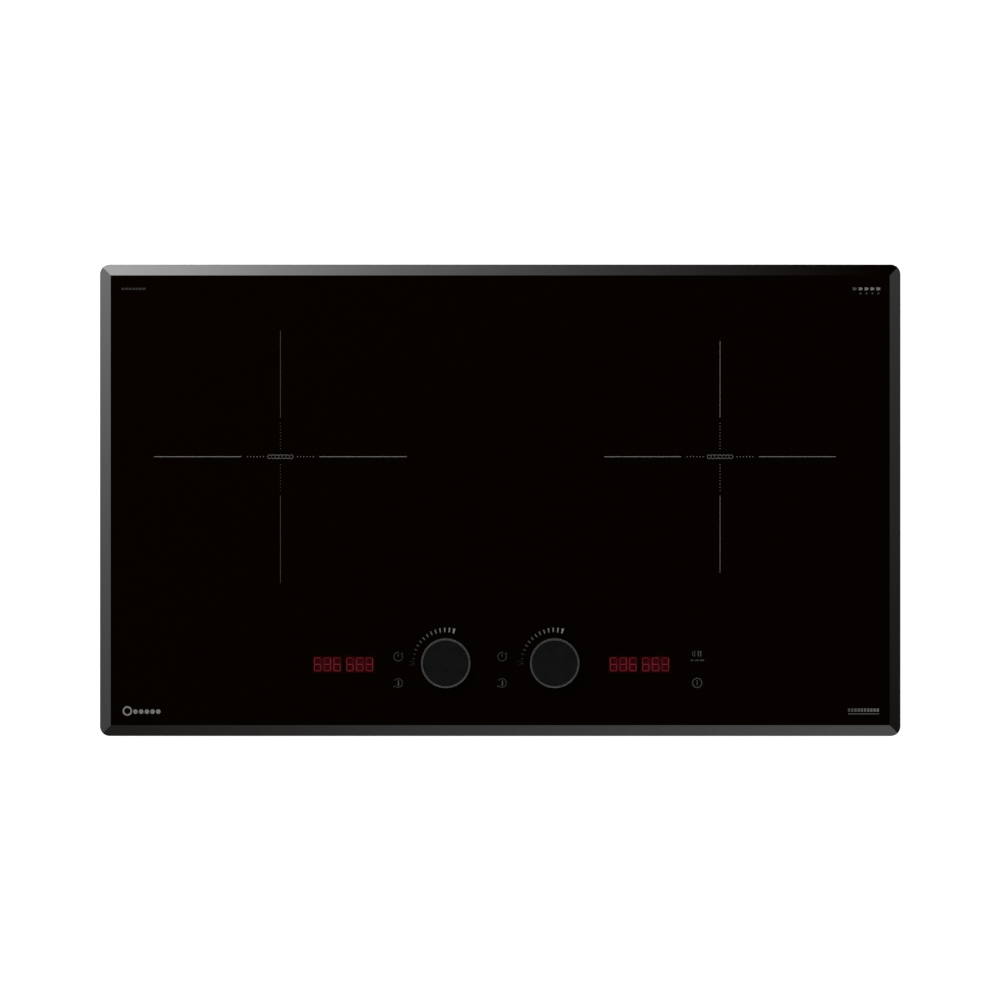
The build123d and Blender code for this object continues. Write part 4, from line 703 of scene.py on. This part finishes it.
LIT = lit_segment()
for side in ("left", "right"):
    display = middle(f"display_{side}")
    digits = Print(lift=2 * INK_SHEET)
    for group in (-1, 1):
        centre = Vector((display.x + group * GROUP_PITCH / 2, KNOB_Y - DISPLAY_DROP))
        for place in (-1, 0, 1):
            digit(digits, centre + Vector((place * DIGIT_PITCH, 0)), place + 1 + (group > 0) * 2)
        half = Vector((1.5 * DIGIT_PITCH, DIGIT_HEIGHT / 2)) + GLOW_MARGIN
        glow = Print(lift=INK_SHEET)
        signs = ((-1, -1), (1, -1), (1, 1), (-1, 1))
        glow.shape([(centre.x + sx * half.x, centre.y + sy * half.y) for sx, sy in signs], 1.0)
        name = "outer" if (group < 0) == (side == "left") else "inner"
        glow.finish(f"display_glow_{side}_{name}", display_glow(centre, half.x, half.y))
    digits.finish(f"display_digits_{side}", LIT)

# --- threaded clamp screws ------------------------------------------------------------------------
THREAD_PITCH = 1.25 * MM
THREAD_DEPTH = 0.55 * MM
THREAD_SIDES = 28
RINGS_PER_TURN = 4
SHANK_RADIUS = 2.5 * MM
PLAIN_SHANK = 2.5 * MM
HEAD_CHAMFER = 0.5 * MM
TIP_LENGTH, TIP_TAPER = 1.5 * MM, 0.9 * MM
CROSS_SPAN, CROSS_WIDTH = 5.2 * MM, 1.1 * MM
CROSS_HEIGHT = 3.6 * MM  # half of it is inside the head


def threaded_screw(corner):
    """A clamp screw with a real thread above its head, in place of the plain CAD one."""
    low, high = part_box(f"clamp_screw_{corner}")
    bracket_low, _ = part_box("clamp_brackets")
    centre = (low + high) / 2
    head_radius = (high.x - low.x) / 2
    shoulder = bracket_low.z
    mesh = bmesh.new()
    rings = []

    def ring(z, radius_at):
        rings.append([mesh.verts.new((centre.x + radius_at(i) * math.cos(TAU * i / THREAD_SIDES),
                                      centre.y + radius_at(i) * math.sin(TAU * i / THREAD_SIDES), z))
                      for i in range(THREAD_SIDES)])

    ring(low.z, lambda i: head_radius - HEAD_CHAMFER)
    ring(low.z + HEAD_CHAMFER, lambda i: head_radius)
    ring(shoulder, lambda i: head_radius)
    ring(shoulder, lambda i: SHANK_RADIUS)
    start = shoulder + PLAIN_SHANK
    ring(start, lambda i: SHANK_RADIUS)
    steps = int((high.z - TIP_LENGTH - start) / THREAD_PITCH * RINGS_PER_TURN)
    for step in range(1, steps + 1):
        z = start + step * THREAD_PITCH / RINGS_PER_TURN

        def crest(i, z=z):
            phase = ((z - start) / THREAD_PITCH - i / THREAD_SIDES) % 1.0
            return SHANK_RADIUS - THREAD_DEPTH * (1 - abs(2 * phase - 1))

        ring(z, crest)
    ring(high.z, lambda i: SHANK_RADIUS - TIP_TAPER)
    for lower, upper in zip(rings, rings[1:]):
        for i in range(THREAD_SIDES):
            j = (i + 1) % THREAD_SIDES
            mesh.faces.new((lower[i], lower[j], upper[j], upper[i]))
    mesh.faces.new(rings[0][::-1])
    mesh.faces.new(rings[-1])
    bmesh.ops.recalc_face_normals(mesh, faces=mesh.faces)
    piece = from_bmesh(f"threaded_screw_{corner}", mesh)
    cut_cross(piece, Vector((centre.x, centre.y, low.z)))
    piece.data.materials.append(SLOT_LOOKS["zinc_steel"])
    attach(piece, f"screw_{corner}")
    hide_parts(f"clamp_screw_{corner}")


def cut_cross(piece, centre):
    """Cut a cross recess into a screw head from below, and keep the result in the mesh."""
    cutter_mesh = bmesh.new()
    for size in ((CROSS_SPAN, CROSS_WIDTH), (CROSS_WIDTH, CROSS_SPAN)):
        made = bmesh.ops.create_cube(cutter_mesh, size=1.0)
        bmesh.ops.scale(cutter_mesh, vec=(*size, CROSS_HEIGHT), verts=made["verts"])
    cutter = from_bmesh("cross_cutter", cutter_mesh)
    cutter.location = centre
    modifier = piece.modifiers.new("cross", "BOOLEAN")
    modifier.operation = "DIFFERENCE"
    modifier.object = cutter
    modifier.solver = "EXACT"
    modifier.use_self = True
    bpy.context.view_layer.update()
    evaluated = piece.evaluated_get(bpy.context.evaluated_depsgraph_get())
    result = bpy.data.meshes.new_from_object(evaluated)
    piece.modifiers.clear()
    bmesh_result = bmesh.new()
    bmesh_result.from_mesh(result)
    bmesh_result.to_mesh(piece.data)
    bmesh_result.free()
    bpy.data.objects.remove(cutter)


for corner in CORNERS:
    threaded_screw(corner)


# --- stage: floor, light panels, world and camera ------------------------------------------------
def plane(name, corners, material):
    data = bpy.data.meshes.new(name)
    data.from_pydata(corners, [], [(0, 1, 2, 3)])
    data.materials.append(material)
    piece = bpy.data.objects.new(name, data)
    bpy.context.scene.collection.objects.link(piece)
    return piece


FLOOR_REACH = 12.0
FLOOR_Z = -0.5 * MM
FLOOR_STRENGTH = 0.85  # so that the floor reads as white from above
floor_look = Look("floor", (0.8, 0.8, 0.8), 0.9, Specular_IOR_Level=0.0)
floor_look.shader.inputs["Emission Color"].default_value = (1, 1, 1, 1)
floor_look.shader.inputs["Emission Strength"].default_value = FLOOR_STRENGTH
plane(
    "floor",
    [(-FLOOR_REACH, -FLOOR_REACH, FLOOR_Z), (FLOOR_REACH, -FLOOR_REACH, FLOOR_Z),
     (FLOOR_REACH, FLOOR_REACH, FLOOR_Z), (-FLOOR_REACH, FLOOR_REACH, FLOOR_Z)],
    floor_look.material,
)

PANEL_HEIGHT = 1.2  # above the glass
# each panel's name, the axis that its light varies along, its half length on that axis, where it
# begins and ends on the other axis, its light at even steps along the first, and its strength
PANELS = (
    ("panel_back", 0, 0.62, (0.70, 1.05), (1.05, 0.72, 0.357, 0.160, 0.059, 0.0095, 0.0), 10.5),
    ("panel_left", 1, 0.42, (-1.30, -0.93), (0.29, 0.385, 0.57, 0.86, 1.28), 3.6),
    ("panel_right", 1, 0.42, (0.93, 1.30), (0.10, 0.24, 0.43, 0.67, 1.16), 1.0),
    ("panel_front", 0, 0.62, (-1.05, -0.70), (0.12, 0.18, 0.30, 0.44, 0.56, 0.72, 0.86), 2.1),
)


def panel_light(name, axis, reach, across, stops, strength):
    """A flat light panel over the hob. Its light varies along axis as the stops say."""
    low, high = -reach, reach
    look = bpy.data.materials.new(name)
    look.use_nodes = True
    tree = look.node_tree
    tree.nodes.clear()
    place = tree.nodes.new("ShaderNodeTexCoord")
    split = tree.nodes.new("ShaderNodeSeparateXYZ")
    tree.links.new(place.outputs["Object"], split.inputs[0])
    along = tree.nodes.new("ShaderNodeMapRange")
    along.inputs["From Min"].default_value = low
    along.inputs["From Max"].default_value = high
    tree.links.new(split.outputs[axis], along.inputs["Value"])
    curve = tree.nodes.new("ShaderNodeFloatCurve")
    points = curve.mapping.curves[0].points
    points[0].location = (0.0, stops[0])
    points[1].location = (1.0, stops[-1])
    for i, value in enumerate(stops[1:-1], 1):
        points.new(i / (len(stops) - 1), value)
    curve.mapping.update()
    tree.links.new(along.outputs["Result"], curve.inputs["Value"])
    scale = tree.nodes.new("ShaderNodeMath")
    scale.operation = "MULTIPLY"
    scale.inputs[1].default_value = strength
    tree.links.new(curve.outputs["Value"], scale.inputs[0])
    emission = tree.nodes.new("ShaderNodeEmission")
    tree.links.new(scale.outputs[0], emission.inputs["Strength"])
    output = tree.nodes.new("ShaderNodeOutputMaterial")
    tree.links.new(emission.outputs[0], output.inputs["Surface"])
    z = GLASS_Z + PANEL_HEIGHT
    if axis == 0:
        corners = [(low, across[0], z), (low, across[1], z), (high, across[1], z), (high, across[0], z)]
    else:
        corners = [(across[0], low, z), (across[0], high, z), (across[1], high, z), (across[1], low, z)]
    plane(name, corners, look).visible_camera = False


for panel in PANELS:
    panel_light(*panel)

world = bpy.data.worlds.new("studio")
bpy.context.scene.world = world
world.use_nodes = True
sky = world.node_tree
sky_place = sky.nodes.new("ShaderNodeTexCoord")
sky_split = sky.nodes.new("ShaderNodeSeparateXYZ")
sky.links.new(sky_place.outputs["Generated"], sky_split.inputs[0])
sky_ramp = sky.nodes.new("ShaderNodeValToRGB")
sky.links.new(sky_split.outputs[2], sky_ramp.inputs["Fac"])
# brightness from the horizon and below, 0, to straight up, 1
SKY = ((0.0, 0.95), (0.35, 0.72), (0.62, 0.30), (0.84, 0.03), (1.0, 0.004))
sky_ramp.color_ramp.elements[0].color = (SKY[0][1],) * 3 + (1,)
sky_ramp.color_ramp.elements[1].color = (SKY[-1][1],) * 3 + (1,)
for position, value in SKY[1:-1]:
    sky_ramp.color_ramp.elements.new(position).color = (value, value, value, 1)
sky.links.new(sky_ramp.outputs["Color"], sky.nodes["Background"].inputs["Color"])

LENS = 120.0
SENSOR = 36.0
FRAME_WIDTH = 911.3 * MM  # what the picture spans at the glass
CAMERA_SHIFT = (-0.2 * MM, 0.26 * MM)
camera_data = bpy.data.cameras.new("camera")
camera_data.lens = LENS
camera_data.sensor_width = SENSOR
camera = bpy.data.objects.new("camera", camera_data)
camera.location = (*CAMERA_SHIFT, GLASS_Z + FRAME_WIDTH * LENS / SENSOR)
bpy.context.scene.collection.objects.link(camera)
bpy.context.scene.camera = camera
bpy.context.scene.view_settings.view_transform = "Standard"

bpy.context.view_layer.update()
